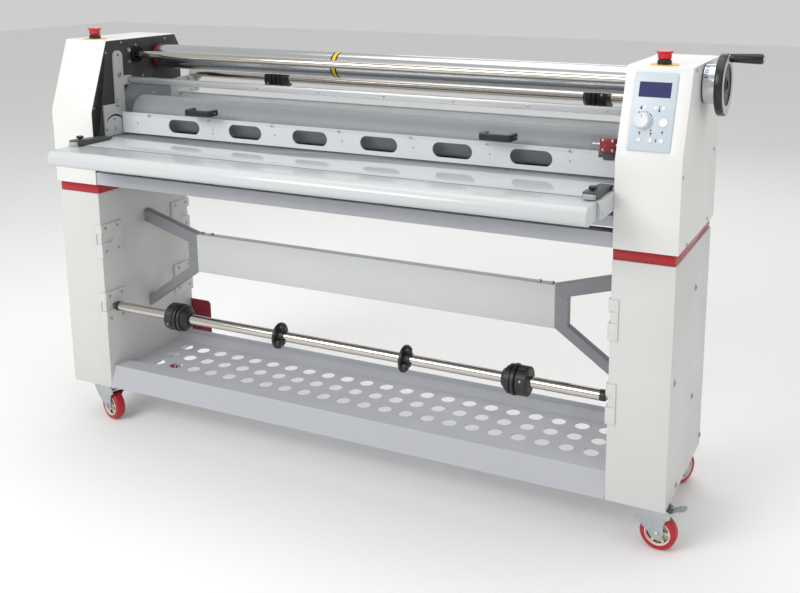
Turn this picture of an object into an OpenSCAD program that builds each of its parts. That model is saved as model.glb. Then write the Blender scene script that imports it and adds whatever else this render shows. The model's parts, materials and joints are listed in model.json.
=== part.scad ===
// Wide-format roll laminator on a castored stand.
// Two hollow side cabinets carry a driven lower roller, a lifting upper roller,
// a hinged nip guard, a feed table with a folding front, an unwind shaft behind
// and a take-up shaft between the legs.
// X runs along the rollers, Y from front to back, Z up from the floor.

/* [Stand] */
// Clear width between the two side cabinets
clear_w = 1530; // [1300:5:1850]
// Width of one side cabinet
cab_w = 150; // [145:1:190]
// Depth of a cabinet, front to back
cab_d = 394; // [390:1:460]
// Height of a leg without its castor
leg_h = 598; // [545:1:720]
// Height of the coloured band between leg and cover
band_h = 27; // [20:1:35]
// How far the cover stands proud of the leg
overhang = 4; // [2:0.5:6]
// How far the band is set back from the cover
band_inset = 7; // [5:0.5:10]
// Sheet thickness of legs and covers
sheet = 2; // [1.5:0.1:2.2]
// Thickness of the leg's bottom plate
foot_plate = 8; // [7:0.5:10]

/* [Cabinet] */
// Height of a cover
cover_h = 409; // [400:1:470]
// Height of the vertical front below the sloped face
knee_h = 211; // [200:1:225]
// How far the sloped face leans back
slope_run = 75; // [60:1:90]
// Depth of the rear chamfer
chamfer_run = 20; // [10:1:30]
// Height of the rear chamfer
chamfer_h = 36; // [20:1:50]
// Thickness of the roller side plates
plate_t = 10; // [8:0.5:12]

/* [Rollers] */
// Height of the nip above the bottom of the cover
nip_rise = 134.5; // [130:0.5:140]
// Radius of both laminating rollers
roller_r = 52.5; // [46:0.5:56]
// Distance of the rollers from the front of the leg
roller_y = 200; // [198:1:206]
// Gap between the rollers when closed
nip_gap = 0.6; // [0.5:0.1:1]
// Radius of the steel core inside the roller covering
core_r = 20; // [17:0.5:24]
// Radius of the journals
journal_r = 12; // [10:0.5:13]
// Free play at each end of a roller
roller_end = 15; // [12:1:20]
// How far the upper roller lifts
lift = 28; // [20:1:30]
// Thread lead of the lifting screws
screw_lead = 5; // [3:0.5:8]
// Radius of the lifting screws
screw_r = 8; // [6:0.5:9]
// Radius of the liner roll
liner_r = 36; // [30:1:40]
// Radius of the pressure cross shaft
cross_r = 11; // [9:0.5:12]

/* [Handwheel] */
// Radius of the handwheel
wheel_r = 72; // [65:1:80]
// Thickness of the handwheel rim
wheel_t = 20; // [16:1:24]
// Radius of the scale collar
collar_r = 46; // [40:1:50]
// Length of the scale collar
collar_len = 30; // [24:1:36]
// Length of the turning grip
grip_len = 74; // [60:1:90]
// Largest radius of the turning grip
grip_r = 12; // [10:0.5:13]

/* [Guard] */
// Side of the square guard rail
rail_w = 17; // [15:0.5:19]
// Thickness of the clear sheet
clear_t = 4; // [3:0.5:5]
// Height of the slotted guide plate
guide_h = 61; // [50:1:64]
// Number of slots in the guide plate
slot_count = 6; // [4:1:6]
// Length of one slot
slot_len = 110; // [70:1:132]
// Width of one slot
slot_w = 38.5; // [20:0.5:42]

/* [Feed table] */
// Depth of the folding front
nose_d = 103; // [85:1:120]
// Thickness of the folding front
nose_t = 44; // [36:1:48]
// Thickness of the fixed table
table_t = 12; // [8:0.5:14]
// Gap between table top and guide plate
feed_gap = 6; // [5.5:0.5:8]

/* [Shafts and chucks] */
// Radius of the unwind and take-up shafts
shaft_r = 14; // [12:0.5:15]
// Radius of the shafts' end spigots
spigot_r = 9; // [7:0.5:9.5]
// Largest radius of a core chuck
chuck_r = 40; // [33:1:48]

/* [Castors] */
// Diameter of a castor wheel
wheel_d = 90; // [80:1:94]
// Width of a castor wheel
tread_w = 30; // [26:1:34]
// Height of the leg above the floor
castor_h = 120; // [118:1:135]
// Offset between swivel stem and axle
trail = 45; // [38:1:48]

/* [Hidden] */
$fn = 64;

// Running fit of a shaft in its bore, and the gap kept between moving faces
fit = 0.05;
gap = 0.4;

// Main planes
x_in = clear_w / 2;
x_out = x_in + cab_w;
x_cab = x_in + cab_w / 2;
z_leg = castor_h;
z_band = z_leg + leg_h;
z_cab = z_band + band_h;
z_knee = z_cab + knee_h;
z_top = z_cab + cover_h;
slope_a = atan(slope_run / (z_top - z_knee));
chamfer_a = atan(chamfer_run / chamfer_h);

// Roller heights
z_nip = z_cab + nip_rise;
z_upper = z_nip + nip_gap / 2 + roller_r;
z_lower = z_nip - nip_gap / 2 - roller_r;
roller_half = x_in - roller_end;

// Pressure shaft, lifting screws and bearing blocks
z_cross = z_top - 49;
flange_t = 6;
screw_x = x_in + plate_t + flange_t + 24;
block_w = 60;
block_t = 24;
block_low = 30;
screw_z = z_upper + journal_r + lift + 6;
block_high = screw_z - z_upper + 24;
mitre_far = 22;
mitre_near = 12;
journal_end = screw_x + 16;
shelf_z = z_cross - mitre_far - 22;
shelf_t = 12;

// Liner roll above the rear of the cabinet
liner_y = roller_y + 96;
z_liner = z_top - 62;

// Unwind shaft behind the cabinets
unwind_y = cab_d + 50;
z_unwind = z_top - 131;
cradle_bearing_r = 9;
bearing_half = 18.5;
bearing_drop = sqrt(pow(shaft_r + gap + cradle_bearing_r, 2) - pow(bearing_half, 2));
shaft_end = x_in - 13;

// Handwheel
hub_x = x_out + collar_len + 2;
grip_x = hub_x + wheel_t + 2;
grip_offset = wheel_r - 10;
pin_r = 4;
grip_cap = 3;
handle_end = grip_x + grip_len + grip_cap;

// Thickness of the brackets inside the cabinets
bracket_t = 6;

// Guard hinge and sheet bend
rail_y = 157;
z_rail = z_top - 119.5;
bend_y = 106;
z_bend = z_top - 165;
guide_y = 115;
guide_t = 3;
z_guide0 = z_nip - 2.5 + feed_gap;
z_guide1 = z_guide0 + guide_h;
guide_left = -x_in + bracket_t + 2;
guide_right = x_in - 17;
slot_pitch = 211;
notch_w = 56;
notch_h = 15;
hinge_pin_r = 5;
handle_left = 491;
handle_right = 402;
latch_w = 38;
latch_h = 35;
latch_gap = 3;
inlet_w = 32;
inlet_h = 28;
z_inlet = z_leg + 100;
latch_x = guide_right - notch_w + 6;

// Feed table
z_table = z_nip - 2.5;
nose_y = -77;
table_half = x_in - 8;

hinge_y = nose_y - 12;
z_hinge = z_table - nose_t + 12;
arm_end = 130;
front_half = table_half - gap;

// Take-up shaft and roll cradles
takeup_y = 38;
z_takeup = z_leg + 250;
cradle_z = [z_leg + 250, z_leg + 457];
cradle_t = 5;
cradle_d = 84;
cradle_h = 100;
cradle_below = 53;

// Where the chucks are clamped along the shafts
takeup_left = 549;
takeup_right = 559;
disc_left = -179;
disc_right = 209;
unwind_left = 458;
unwind_right = 622;

// Stretcher
panel_half = x_in - 198;
panel_y = 188;
z_panel0 = z_leg + 337;
panel_h = 117;

// Tray
tray_z = z_leg + 46;
hole_r = 19.6;
hole_rows = [132, 198, 264];
hole_pitch = 65.8;
hole_count = floor((clear_w - 2 * 56) / hole_pitch) + 1;

// Stops and panel
estop_y = 113;
estop_bore = 11;
overlay_w = 97;
overlay_s0 = 18;
overlay_s1 = 197;
overlay_t = 3;
key_s = 43;
key_x = [-27, -2, 23];
key_r = 5.5;

// Castors
stem_x = x_cab + 3;
stem_y = [55, cab_d - 46];
stem_r = 8;
fork_gap = 3;
fork_t = 3;
axle_z = wheel_d / 2;
crown_z = castor_h - 8;
pedal_x = trail + 22;
pedal_z = crown_z - 14;
pedal_r = 4;

// The origin is on the floor, midway between the extreme faces
x_mid = (handle_end - x_out) / 2;
y_front = nose_y - nose_d;
y_back = unwind_y + chuck_r;
y_mid = (y_front + y_back) / 2;

module placed(c) {
    color(c)
        translate([-x_mid, -y_mid, 0])
            children();
}

// Copies its children to both ends, mirrored across the middle
module both_ends() {
    for (m = [0, 1])
        mirror([m, 0, 0])
            children();
}

// A cylinder along +X, starting at x
module rod_x(x, len, r, y, z) {
    translate([x, y, z])
        rotate([0, 90, 0])
            cylinder(h = len, r = r);
}

// A plate drawn in the Y-Z plane and thickened along +X from x
module side_slab(x, t) {
    translate([x, 0, 0])
        rotate([90, 0, 90])
            linear_extrude(t)
                children();
}

// Unit normal of the run from a to b
function run_normal(a, b) = [a[1] - b[1], b[0] - a[0]] / norm(b - a);

// Corner i of a strip, d off its centre line, mitred between its two runs
function strip_corner(p, i, d) =
    let (last = len(p) - 1,
         n1 = run_normal(p[max(i - 1, 0)], p[max(i, 1)]),
         n2 = run_normal(p[min(i, last - 1)], p[min(i + 1, last)]),
         n = (n1 + n2) / norm(n1 + n2))
    p[i] + n * d / (n * n1);

// A folded strip of sheet along a list of Y-Z corners
module folded(points, t) {
    last = len(points) - 1;
    polygon(concat([for (i = [0 : last]) strip_corner(points, i, t / 2)],
                   [for (i = [last : -1 : 0]) strip_corner(points, i, -t / 2)]));
}

// Cabinet outline in Y-Z, set in by i on every side
function cab_outline(i) = [
    [i, z_cab],
    [i, z_knee - i * tan(slope_a / 2)],
    [(i + sin(slope_a) * (z_top - i - z_knee)) / cos(slope_a), z_top - i],
    [cab_d - (i + sin(chamfer_a) * (chamfer_h - i)) / cos(chamfer_a), z_top - i],
    [cab_d - i, z_top - chamfer_h - i * tan(chamfer_a / 2)],
    [cab_d - i, z_cab]
];

// Puts its children on the sloped face: x along the machine, y up the slope
module on_slope() {
    translate([x_cab, 0, z_knee])
        rotate([90 - slope_a, 0, 0])
            children();
}

// ---------------------------------------------------------------- stand

module leg() {
    difference() {
        translate([x_in, overhang, z_leg])
            cube([cab_w - overhang, cab_d - 2 * overhang, leg_h]);
        translate([x_in + sheet, overhang + sheet, z_leg + foot_plate])
            cube([cab_w - overhang - 2 * sheet, cab_d - 2 * overhang - 2 * sheet,
                  leg_h - foot_plate - sheet]);
        for (y = stem_y)
            translate([stem_x, y, z_leg - 1])
                cylinder(h = foot_plate + 2, r = stem_r + fit);
    }
}

module legs() {
    placed("gainsboro")
        difference() {
            both_ends() leg();
            translate([x_cab - inlet_w / 2 - gap, cab_d - overhang - sheet - 1, z_inlet - gap])
                cube([inlet_w + 2 * gap, sheet + 2, inlet_h + 2 * gap]);
        }
}

module accent_bands() {
    placed("firebrick")
        both_ends()
            difference() {
                translate([x_in, band_inset, z_band])
                    cube([cab_w - band_inset, cab_d - 2 * band_inset, band_h]);
                translate([x_in + 12, band_inset + 12, z_band - 1])
                    cube([cab_w - band_inset - 24, cab_d - 2 * band_inset - 24,
                          band_h + 2]);
            }
}

module cover() {
    difference() {
        side_slab(x_in, cab_w) polygon(cab_outline(0));
        side_slab(x_in - 1, cab_w - sheet + 1) polygon(cab_outline(sheet));
        translate([x_in - 1, sheet, z_cab - 1])
            cube([cab_w - sheet + 1, cab_d - 2 * sheet, 3]);
        translate([x_cab, estop_y, z_top - 10])
            cylinder(h = 20, r = estop_bore);
    }
}

module cover_left() {
    placed("whitesmoke") mirror([1, 0, 0]) cover();
}

module cover_right() {
    placed("whitesmoke")
        difference() {
            cover();
            rod_x(x_out - 10, 20, cross_r + 2, roller_y, z_cross);
            on_slope()
                translate([6 - overlay_w / 2, overlay_s0 + 8, -10])
                    cube([overlay_w - 16, overlay_s1 - overlay_s0 - 16, 20]);
        }
}

// One structural plate with its bores, block guides and screw shelf
module side_plate() {
    difference() {
        union() {
            side_slab(x_in, plate_t) polygon(cab_outline(sheet + 0.3));
            for (s = [-1, 1])
                translate([x_in + plate_t - 1, roller_y + s * (block_w / 2 + gap + 5) - 5,
                           z_upper - block_low])
                    cube([screw_x + block_t / 2 - x_in - plate_t + 3, 10,
                          block_low + block_high + lift]);
            translate([x_in + plate_t - 1, roller_y - 26, shelf_z])
                cube([screw_x + 16 - x_in - plate_t, 52, shelf_t]);
        }
        rod_x(x_in - 1, plate_t + 2, journal_r + 8, roller_y, z_lower);
        for (dz = [0, lift])
            rod_x(x_in - 1, plate_t + 2, journal_r + 1, roller_y, z_upper + dz);
        translate([x_in - 1, roller_y - journal_r - 1, z_upper])
            cube([plate_t + 2, 2 * journal_r + 2, lift]);
        rod_x(x_in - 1, plate_t + 2, cross_r + 6, roller_y, z_cross);
        rod_x(x_in - 1, plate_t + 2, journal_r + 6, liner_y, z_liner);
        translate([screw_x, roller_y, shelf_z - 1])
            cylinder(h = shelf_t + 2, r = screw_r + fit);
    }
}

module side_plates() {
    placed("dimgray") both_ends() side_plate();
}

// Square front beam, and the pale strip that carries the table
module front_beams() {
    placed("darkgray") {
        difference() {
            translate([-x_in, 2, z_cab + 1])
                cube([clear_w, 40, 36]);
            translate([-x_in - 1, 4, z_cab + 3])
                cube([clear_w + 2, 36, 32]);
        }
        difference() {
            translate([-x_in, 2, z_cab + 50])
                cube([clear_w, 60, 26]);
            translate([-x_in - 1, 4, z_cab + 49])
                cube([clear_w + 2, 56, 25]);
        }
    }
}

module stretcher_panel() {
    placed("gainsboro")
        difference() {
            translate([-panel_half, panel_y, z_panel0])
                cube([2 * panel_half, 26, panel_h]);
            translate([-panel_half - 1, panel_y + 2.5, z_panel0 + 2.5])
                cube([2 * panel_half + 2, 30, panel_h - 5]);
        }
}

// Upright and two spread arms in X-Z, each narrowed by i along both edges
module k_outline(i) {
    reach = x_in - panel_half;
    arm_h = 36;
    low_h = 27;
    up_a = 16;
    down_a = 35;
    intersection() {
        translate([panel_half + i, z_panel0 - 160])
            square([reach - i + (i > 0 ? 1 : 0), panel_h + 240]);
        union() {
            translate([panel_half + i, z_panel0 + 1 + i])
                square([34 - 2 * i, panel_h - 2 - 2 * i]);
            translate([panel_half, z_panel0 + panel_h - arm_h - 1])
                rotate(up_a)
                    translate([-20, i])
                        square([reach * 1.4, arm_h - 2 * i]);
            translate([panel_half, z_panel0 + 2])
                rotate(-down_a)
                    translate([-20, i])
                        square([reach * 1.7, low_h - 2 * i]);
        }
    }
}

// Pressed bracket, open to the rear, that ties the panel to a leg
module k_bracket() {
    depth = 24;
    wall = 2.5;
    translate([0, panel_y + 1 + depth, 0])
        rotate([90, 0, 0])
            difference() {
                linear_extrude(depth) k_outline(0);
                translate([0, 0, -1])
                    linear_extrude(depth - wall + 1) k_outline(wall);
            }
}

module k_brackets() {
    placed("darkgray") both_ends() k_bracket();
}

module tray() {
    placed("silver")
        difference() {
            translate([-x_in, 0, 0])
                side_slab(0, clear_w)
                    folded([[14, z_leg + 4], [2, z_leg + 4], [21, z_leg + 65],
                            [68, z_leg + 66], [98, tray_z], [308, tray_z],
                            [341, z_leg + 63], [341, z_leg + 76]], 2);
            for (x = [-(hole_count - 1) / 2 : 1 : (hole_count - 1) / 2])
                for (y = hole_rows)
                    translate([x * hole_pitch, y, tray_z - 10])
                        cylinder(h = 20, r = hole_r, $fn = 32);
        }
}

// Plate on the inside of a leg with a slot that opens forwards
module roll_cradle(z) {
    slot_z = spigot_r + gap;
    difference() {
        union() {
            translate([x_in - cradle_t, overhang - 3, z - cradle_below])
                cube([cradle_t, cradle_d, cradle_h]);
            translate([x_in - cradle_t, overhang - 3, z - cradle_below])
                cube([24, 3, cradle_h]);
        }
        translate([x_in - 10, takeup_y, z])
            rotate([0, 90, 0])
                cylinder(h = 40, r = slot_z);
        translate([x_in - 10, 4, z - slot_z])
            cube([40, takeup_y - 4, 2 * slot_z]);
        translate([x_in - 10, -2, z - slot_z - 2])
            cube([26, 14, 2 * slot_z + 12]);
    }
}

module roll_cradles() {
    placed("gainsboro")
        both_ends()
            for (z = cradle_z) {
                roll_cradle(z);
                translate([0, cab_d, 0])
                    mirror([0, 1, 0])
                        roll_cradle(z);
            }
}

// Plate behind each cabinet with two bearings that the unwind shaft lies on
module unwind_cradle() {
    z0 = z_unwind - bearing_drop;
    difference() {
        union() {
            translate([x_in - bracket_t, cab_d - 54, z0 - 55])
                cube([bracket_t, 54, 62]);
            translate([x_in - bracket_t, cab_d - 20, z0 - 46])
                cube([bracket_t, unwind_y + bearing_half + 10 - cab_d + 20, 56]);
        }
        rod_x(x_in - bracket_t - 1, bracket_t + 2, shaft_r + 1, unwind_y, z_unwind);
        translate([x_in - bracket_t - 1, unwind_y - shaft_r - 1, z_unwind])
            cube([bracket_t + 2, 2 * shaft_r + 2, 40]);
    }
    for (s = [-1, 1])
        rod_x(x_in - bracket_t - 10, 10, cradle_bearing_r, unwind_y + s * bearing_half, z0);
}

module unwind_cradles() {
    placed("lightgray") both_ends() unwind_cradle();
}

// Silver plate that carries the guard hinge inside each cabinet
module side_bracket() {
    arm_y = 114;
    arm_z = z_top - 49;
    difference() {
        union() {
            side_slab(x_in - bracket_t, bracket_t) {
                translate([arm_y, arm_z])
                    circle(r = 18);
                translate([arm_y - 18, z_knee + 10])
                    square([36, arm_z - z_knee - 10]);
                translate([46, z_table + 2])
                    square([86, z_knee + 14 - z_table - 2]);
                translate([rail_y, z_rail])
                    circle(r = 13);
                translate([arm_y, z_rail - 13])
                    square([rail_y - arm_y, 26]);
            }
            rod_x(x_in - bracket_t - 8, 9, 4, bend_y - 6, z_bend);
        }
        rod_x(x_in - bracket_t - 1, bracket_t + 2, hinge_pin_r + fit, rail_y, z_rail);
        rod_x(x_in - bracket_t - 1, bracket_t + 2, 4, arm_y, arm_z + 5);
        for (p = [[88, 8], [96, 6], [76, -30], [43, -58], [77, -61]])
            rod_x(x_in - bracket_t - 1, bracket_t + 2, 3, p[0] + 8, z_knee + p[1]);
        side_slab(x_in - bracket_t - 1, bracket_t + 2)
            translate([86, z_knee - 60])
                intersection() {
                    difference() {
                        circle(r = 45);
                        circle(r = 39);
                    }
                    translate([-32, 16])
                        square([64, 40]);
                }
    }
}

module side_brackets() {
    placed("silver") both_ends() side_bracket();
}

// Latch that holds the guard shut, with its pull plunger and its bolt
module latch_block() {
    placed("brown") {
        translate([latch_x, guide_y - 14, z_guide1 - 1])
            cube([latch_w, 14, latch_h]);
        translate([latch_x + 6, guide_y - 5, z_guide1 - notch_h - 4])
            cube([latch_w - 12, 5, notch_h + 4]);
        rod_x(latch_x - 20, latch_w + 38, 4, guide_y - 7, z_guide1 + 18);
    }
}

// ---------------------------------------------------------------- table

module feed_table() {
    placed("lightgray") {
        translate([-table_half, nose_y + 1, z_table - table_t])
            cube([2 * table_half, roller_y - 62 - nose_y, table_t]);
        both_ends()
            difference() {
                union() {
                    translate([table_half, hinge_y + 9, z_table - nose_t])
                        cube([x_in - table_half, arm_end - hinge_y - 9, nose_t]);
                    rod_x(table_half, x_in - table_half, 12, hinge_y, z_hinge);
                    translate([table_half, hinge_y - 12, z_hinge])
                        cube([x_in - table_half, 24, z_table - z_hinge]);
                }
                rod_x(table_half - 1, x_in - table_half + 2, hinge_pin_r + fit,
                      hinge_y, z_hinge);
            }
    }
}

// Side guides on the fixed table that clamp the folding front
module table_latches() {
    placed("dimgray")
        both_ends() {
            difference() {
                translate([table_half - 34, nose_y - 22, z_table + latch_gap])
                    cube([32, 130, 14]);
                translate([table_half - 36, nose_y - 5, z_table + latch_gap])
                    rotate([-4, 0, 0])
                        translate([0, 0, 14])
                            cube([40, 150, 20]);
            }
            translate([table_half - 32, nose_y + 8, z_table])
                cube([28, 96, 6]);
            translate([table_half - 18, nose_y + 2, z_table + 14])
                cylinder(h = 10, r = 3);
            translate([table_half - 18, nose_y + 2, z_table + 20])
                cylinder(h = 5, r = 9);
        }
}

// Hollow bull-nosed front, hinged along its lower rear edge
module front_table() {
    nose_r = nose_t / 2;
    wall = 2.5;
    placed("lightgray") {
        difference() {
            side_slab(-front_half, 2 * front_half) {
                translate([nose_y - nose_d + nose_r, z_table - nose_r])
                    circle(r = nose_r);
                translate([nose_y - nose_d + nose_r, z_table - nose_t])
                    square([nose_d - nose_r, nose_t]);
            }
            side_slab(-front_half + 4, 2 * front_half - 8) {
                translate([nose_y - nose_d + nose_r, z_table - nose_r])
                    circle(r = nose_r - wall);
                translate([nose_y - nose_d + nose_r, z_table - nose_t + wall])
                    square([nose_d - nose_r - wall, nose_t - 2 * wall]);
            }
        }
        both_ends()
            rod_x(front_half - 3, x_in - front_half + 2, hinge_pin_r, hinge_y, z_hinge);
    }
}

// Upper rear cover above the exit gap, and the exit lip below it
module rear_cover() {
    half = x_in - bracket_t;
    placed("whitesmoke") {
        side_slab(-half, 2 * half)
            folded([[cab_d - 44, z_nip + 18], [cab_d - 6, z_nip + 30],
                    [cab_d - 6, z_nip + 90], [cab_d - 20, z_nip + 94]], 2);
        side_slab(-x_in, clear_w)
            folded([[roller_y + 62, z_nip - 6], [cab_d - 4, z_nip - 6],
                    [cab_d - 4, z_cab + 20]], 2);
    }
}

// Small plate on the rear inside edge of the left leg
module hook_plate() {
    placed("brown")
        difference() {
            translate([-x_in, cab_d - overhang - 6, z_leg + 54])
                cube([78, 3, 109]);
            translate([-x_in + 78, cab_d - overhang - 7, z_leg + 163])
                rotate([-90, 0, 0])
                    rotate(45)
                        translate([-6, -6, 0])
                            cube([12, 12, 6]);
        }
}

// ---------------------------------------------------------------- drive

// Shaft-mounted gearbox on the lower roller with its motor lying to the rear
module drive_motor() {
    box_x = -x_in - plate_t - 22;
    placed("slategray")
        difference() {
            union() {
                translate([box_x - 76, roller_y - 45, z_lower - 45])
                    cube([76, 90, 90]);
                translate([box_x - 38, roller_y + 40, z_lower])
                    rotate([-90, 0, 0])
                        cylinder(h = 120, r = 34);
                translate([box_x - 1, roller_y - 45, z_lower - 45])
                    cube([23, 90, 12]);
            }
            rod_x(box_x - 80, 90, journal_r + fit, roller_y, z_lower);
        }
}

// Appliance inlet on the rear of the right leg
module mains_inlet() {
    placed("black")
        difference() {
            union() {
                translate([x_cab - inlet_w / 2 - 14, cab_d - overhang, z_inlet - 10])
                    cube([inlet_w + 28, 3, inlet_h + 20]);
                translate([x_cab - inlet_w / 2, cab_d - overhang - 24, z_inlet])
                    cube([inlet_w, 25, inlet_h]);
            }
            translate([x_cab - inlet_w / 2 + 3, cab_d - overhang - 14, z_inlet + 3])
                cube([inlet_w - 6, 20, inlet_h - 6]);
        }
}

// Flanged bearings of the lower roller, cross shaft and liner roll
module shaft_bearing(y, z, bore, seat) {
    difference() {
        union() {
            rod_x(x_in, plate_t + flange_t, seat, y, z);
            rod_x(x_in + plate_t, flange_t, seat + 8, y, z);
        }
        rod_x(x_in - 1, plate_t + flange_t + 2, bore + fit, y, z);
    }
}

module shaft_bearings() {
    placed("black")
        both_ends() {
            shaft_bearing(roller_y, z_lower, journal_r, journal_r + 8);
            shaft_bearing(roller_y, z_cross, cross_r, cross_r + 6);
            shaft_bearing(liner_y, z_liner, journal_r, journal_r + 6);
        }
}

// ---------------------------------------------------------------- rollers

module roller_core(z, left, right) {
    rod_x(-left, left + right, journal_r, roller_y, z);
    rod_x(-roller_half + 2, 2 * roller_half - 4, core_r, roller_y, z);
}

module roller_sleeve(z) {
    difference() {
        rod_x(-roller_half, 2 * roller_half, roller_r, roller_y, z);
        rod_x(-roller_half - 1, 2 * roller_half + 2, core_r, roller_y, z);
    }
}

module lower_roller_core() {
    placed("lightslategray")
        roller_core(z_lower, x_in + plate_t + 90, x_in + plate_t + 12);
}

module lower_roller_sleeve() {
    placed("dimgray") roller_sleeve(z_lower);
}

module upper_roller_core() {
    placed("lightslategray")
        roller_core(z_upper, journal_end, journal_end);
}

module upper_roller_sleeve() {
    placed("darkgray") roller_sleeve(z_upper);
}

// Blocks that carry the upper roller and ride between the plate's guides
module bearing_blocks() {
    placed("steelblue")
        both_ends()
            difference() {
                translate([screw_x - block_t / 2, roller_y - block_w / 2,
                           z_upper - block_low])
                    cube([block_t, block_w, block_low + block_high]);
                rod_x(x_in, journal_end + 10 - x_in, journal_r + fit, roller_y, z_upper);
                translate([screw_x, roller_y, screw_z - lift - 2])
                    cylinder(h = block_high + lift, r = screw_r + fit);
            }
}

// Vertical screw with the lower gear of a mitre pair on top
module lift_screw() {
    translate([screw_x, roller_y, screw_z])
        cylinder(h = z_cross - cross_r - 1.5 - screw_z, r = screw_r);
    translate([screw_x, roller_y, z_cross - mitre_far])
        cylinder(h = mitre_far - mitre_near, r1 = mitre_far - gap, r2 = mitre_near - gap);
    translate([screw_x, roller_y, shelf_z + shelf_t + gap])
        cylinder(h = 5, r = screw_r + 5);
}

module lift_screw_left() {
    placed("silver") mirror([1, 0, 0]) lift_screw();
}

module lift_screw_right() {
    placed("silver") lift_screw();
}

// Bright shaft across the machine that turns both screws together
module cross_shaft() {
    placed("silver") {
        rod_x(-screw_x - 34, screw_x + 34 + hub_x + wheel_t - 4, cross_r, roller_y, z_cross);
        both_ends()
            translate([screw_x + mitre_near, roller_y, z_cross])
                rotate([0, 90, 0])
                    cylinder(h = mitre_far - mitre_near, r1 = mitre_near - gap,
                             r2 = mitre_far - gap);
    }
}

module handwheel_collar() {
    placed("silver")
        difference() {
            rod_x(x_out, collar_len, collar_r, roller_y, z_cross);
            rod_x(x_out - 1, collar_len + 2, cross_r + 1, roller_y, z_cross);
        }
}

// Dished wheel with a raised rim and a crank pin near its top
module handwheel() {
    placed("black") {
        translate([hub_x, roller_y, z_cross])
            rotate([0, 90, 0])
                rotate_extrude($fn = 96)
                    difference() {
                        translate([cross_r, 0])
                            square([wheel_r - cross_r, wheel_t]);
                        translate([cross_r + 9, 7])
                            square([wheel_r - cross_r - 21, wheel_t]);
                    }
        rod_x(hub_x + 2, grip_x + grip_len - hub_x - 1, pin_r, roller_y, z_cross + grip_offset);
        rod_x(grip_x + grip_len, grip_cap, pin_r + 3, roller_y, z_cross + grip_offset);
    }
}

module handwheel_grip() {
    placed("black")
        difference() {
            translate([grip_x, roller_y, z_cross + grip_offset])
                rotate([0, 90, 0])
                    cylinder(h = grip_len - gap, r1 = grip_r - 2, r2 = grip_r);
            rod_x(grip_x - 1, grip_len + 2, pin_r + fit, roller_y, z_cross + grip_offset);
        }
}

// Large bright roll that takes up the release liner
module liner_roll() {
    placed("whitesmoke") {
        rod_x(-x_in + 4, clear_w - 8, liner_r, liner_y, z_liner);
        rod_x(-x_in - plate_t - 14, clear_w + 2 * plate_t + 28, journal_r, liner_y, z_liner);
    }
}

// ---------------------------------------------------------------- roll shafts

module roll_shaft(y, z) {
    rod_x(-shaft_end, 2 * shaft_end, shaft_r, y, z);
    rod_x(-x_in + 1, clear_w - 2, spigot_r, y, z);
}

// Stepped chuck that grips the inside of a cardboard core
module stepped_chuck(x, y, z) {
    difference() {
        union() {
            rod_x(x, 28, chuck_r - 2.5, y, z);
            rod_x(x + 27, 5, chuck_r - 7, y, z);
            rod_x(x + 31, 10, chuck_r, y, z);
            rod_x(x + 40, 5, chuck_r - 6, y, z);
            rod_x(x + 44, 9, chuck_r - 2, y, z);
            rod_x(x + 52, 9, chuck_r - 8, y, z);
            rod_x(x + 60, 10, chuck_r - 15, y, z);
        }
        rod_x(x - 1, 80, shaft_r, y, z);
    }
}

module disc_chuck(x, y, z) {
    difference() {
        union() {
            rod_x(x, 9, chuck_r - 4, y, z);
            rod_x(x + 8, 15, shaft_r + 4, y, z);
            for (a = [90, 210, 330])
                rod_x(x + 8, 15, 10, y + 24 * cos(a), z + 24 * sin(a));
        }
        rod_x(x - 1, 40, shaft_r, y, z);
    }
}

module takeup_shaft() {
    placed("silver") roll_shaft(takeup_y, z_takeup);
}

module takeup_chucks() {
    placed("black") {
        stepped_chuck(-takeup_left, takeup_y, z_takeup);
        mirror([1, 0, 0])
            stepped_chuck(-takeup_right, takeup_y, z_takeup);
        disc_chuck(disc_left, takeup_y, z_takeup);
        disc_chuck(disc_right, takeup_y, z_takeup);
    }
}

module unwind_shaft() {
    placed("silver") {
        rod_x(-x_in + 0.5, clear_w - 1, shaft_r, unwind_y, z_unwind);
    }
}

module unwind_chucks() {
    placed("black") {
        stepped_chuck(-unwind_left, unwind_y, z_unwind);
        mirror([1, 0, 0])
            stepped_chuck(-unwind_right, unwind_y, z_unwind);
    }
}

// ---------------------------------------------------------------- guard

module guard_rail() {
    half = x_in - bracket_t - 1;
    placed("silver") {
        translate([-half, rail_y - rail_w / 2, z_rail - rail_w / 2])
            cube([2 * half, rail_w, rail_w]);
        rod_x(-x_in + 1, clear_w - 2, hinge_pin_r, rail_y, z_rail);
    }
}

module guard_sheet() {
    half = x_in - bracket_t - 12;
    placed([0.8, 0.9, 0.95, 0.35])
        difference() {
            side_slab(-half, 2 * half)
                folded([[rail_y - 5, z_rail - rail_w / 2 - clear_t / 2],
                        [rail_y - 14, z_rail - rail_w / 2 - clear_t / 2],
                        [bend_y, z_bend],
                        [guide_y - clear_t / 2, z_guide1 - 8]], clear_t);
            translate([latch_x - 24, bend_y - 20, z_guide1 - 20])
                cube([100, 60, latch_h + 26]);
            translate([-half - 1, guide_y, z_guide1 - 14])
                cube([2 * half + 2, 20, 20]);
        }
}

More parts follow.
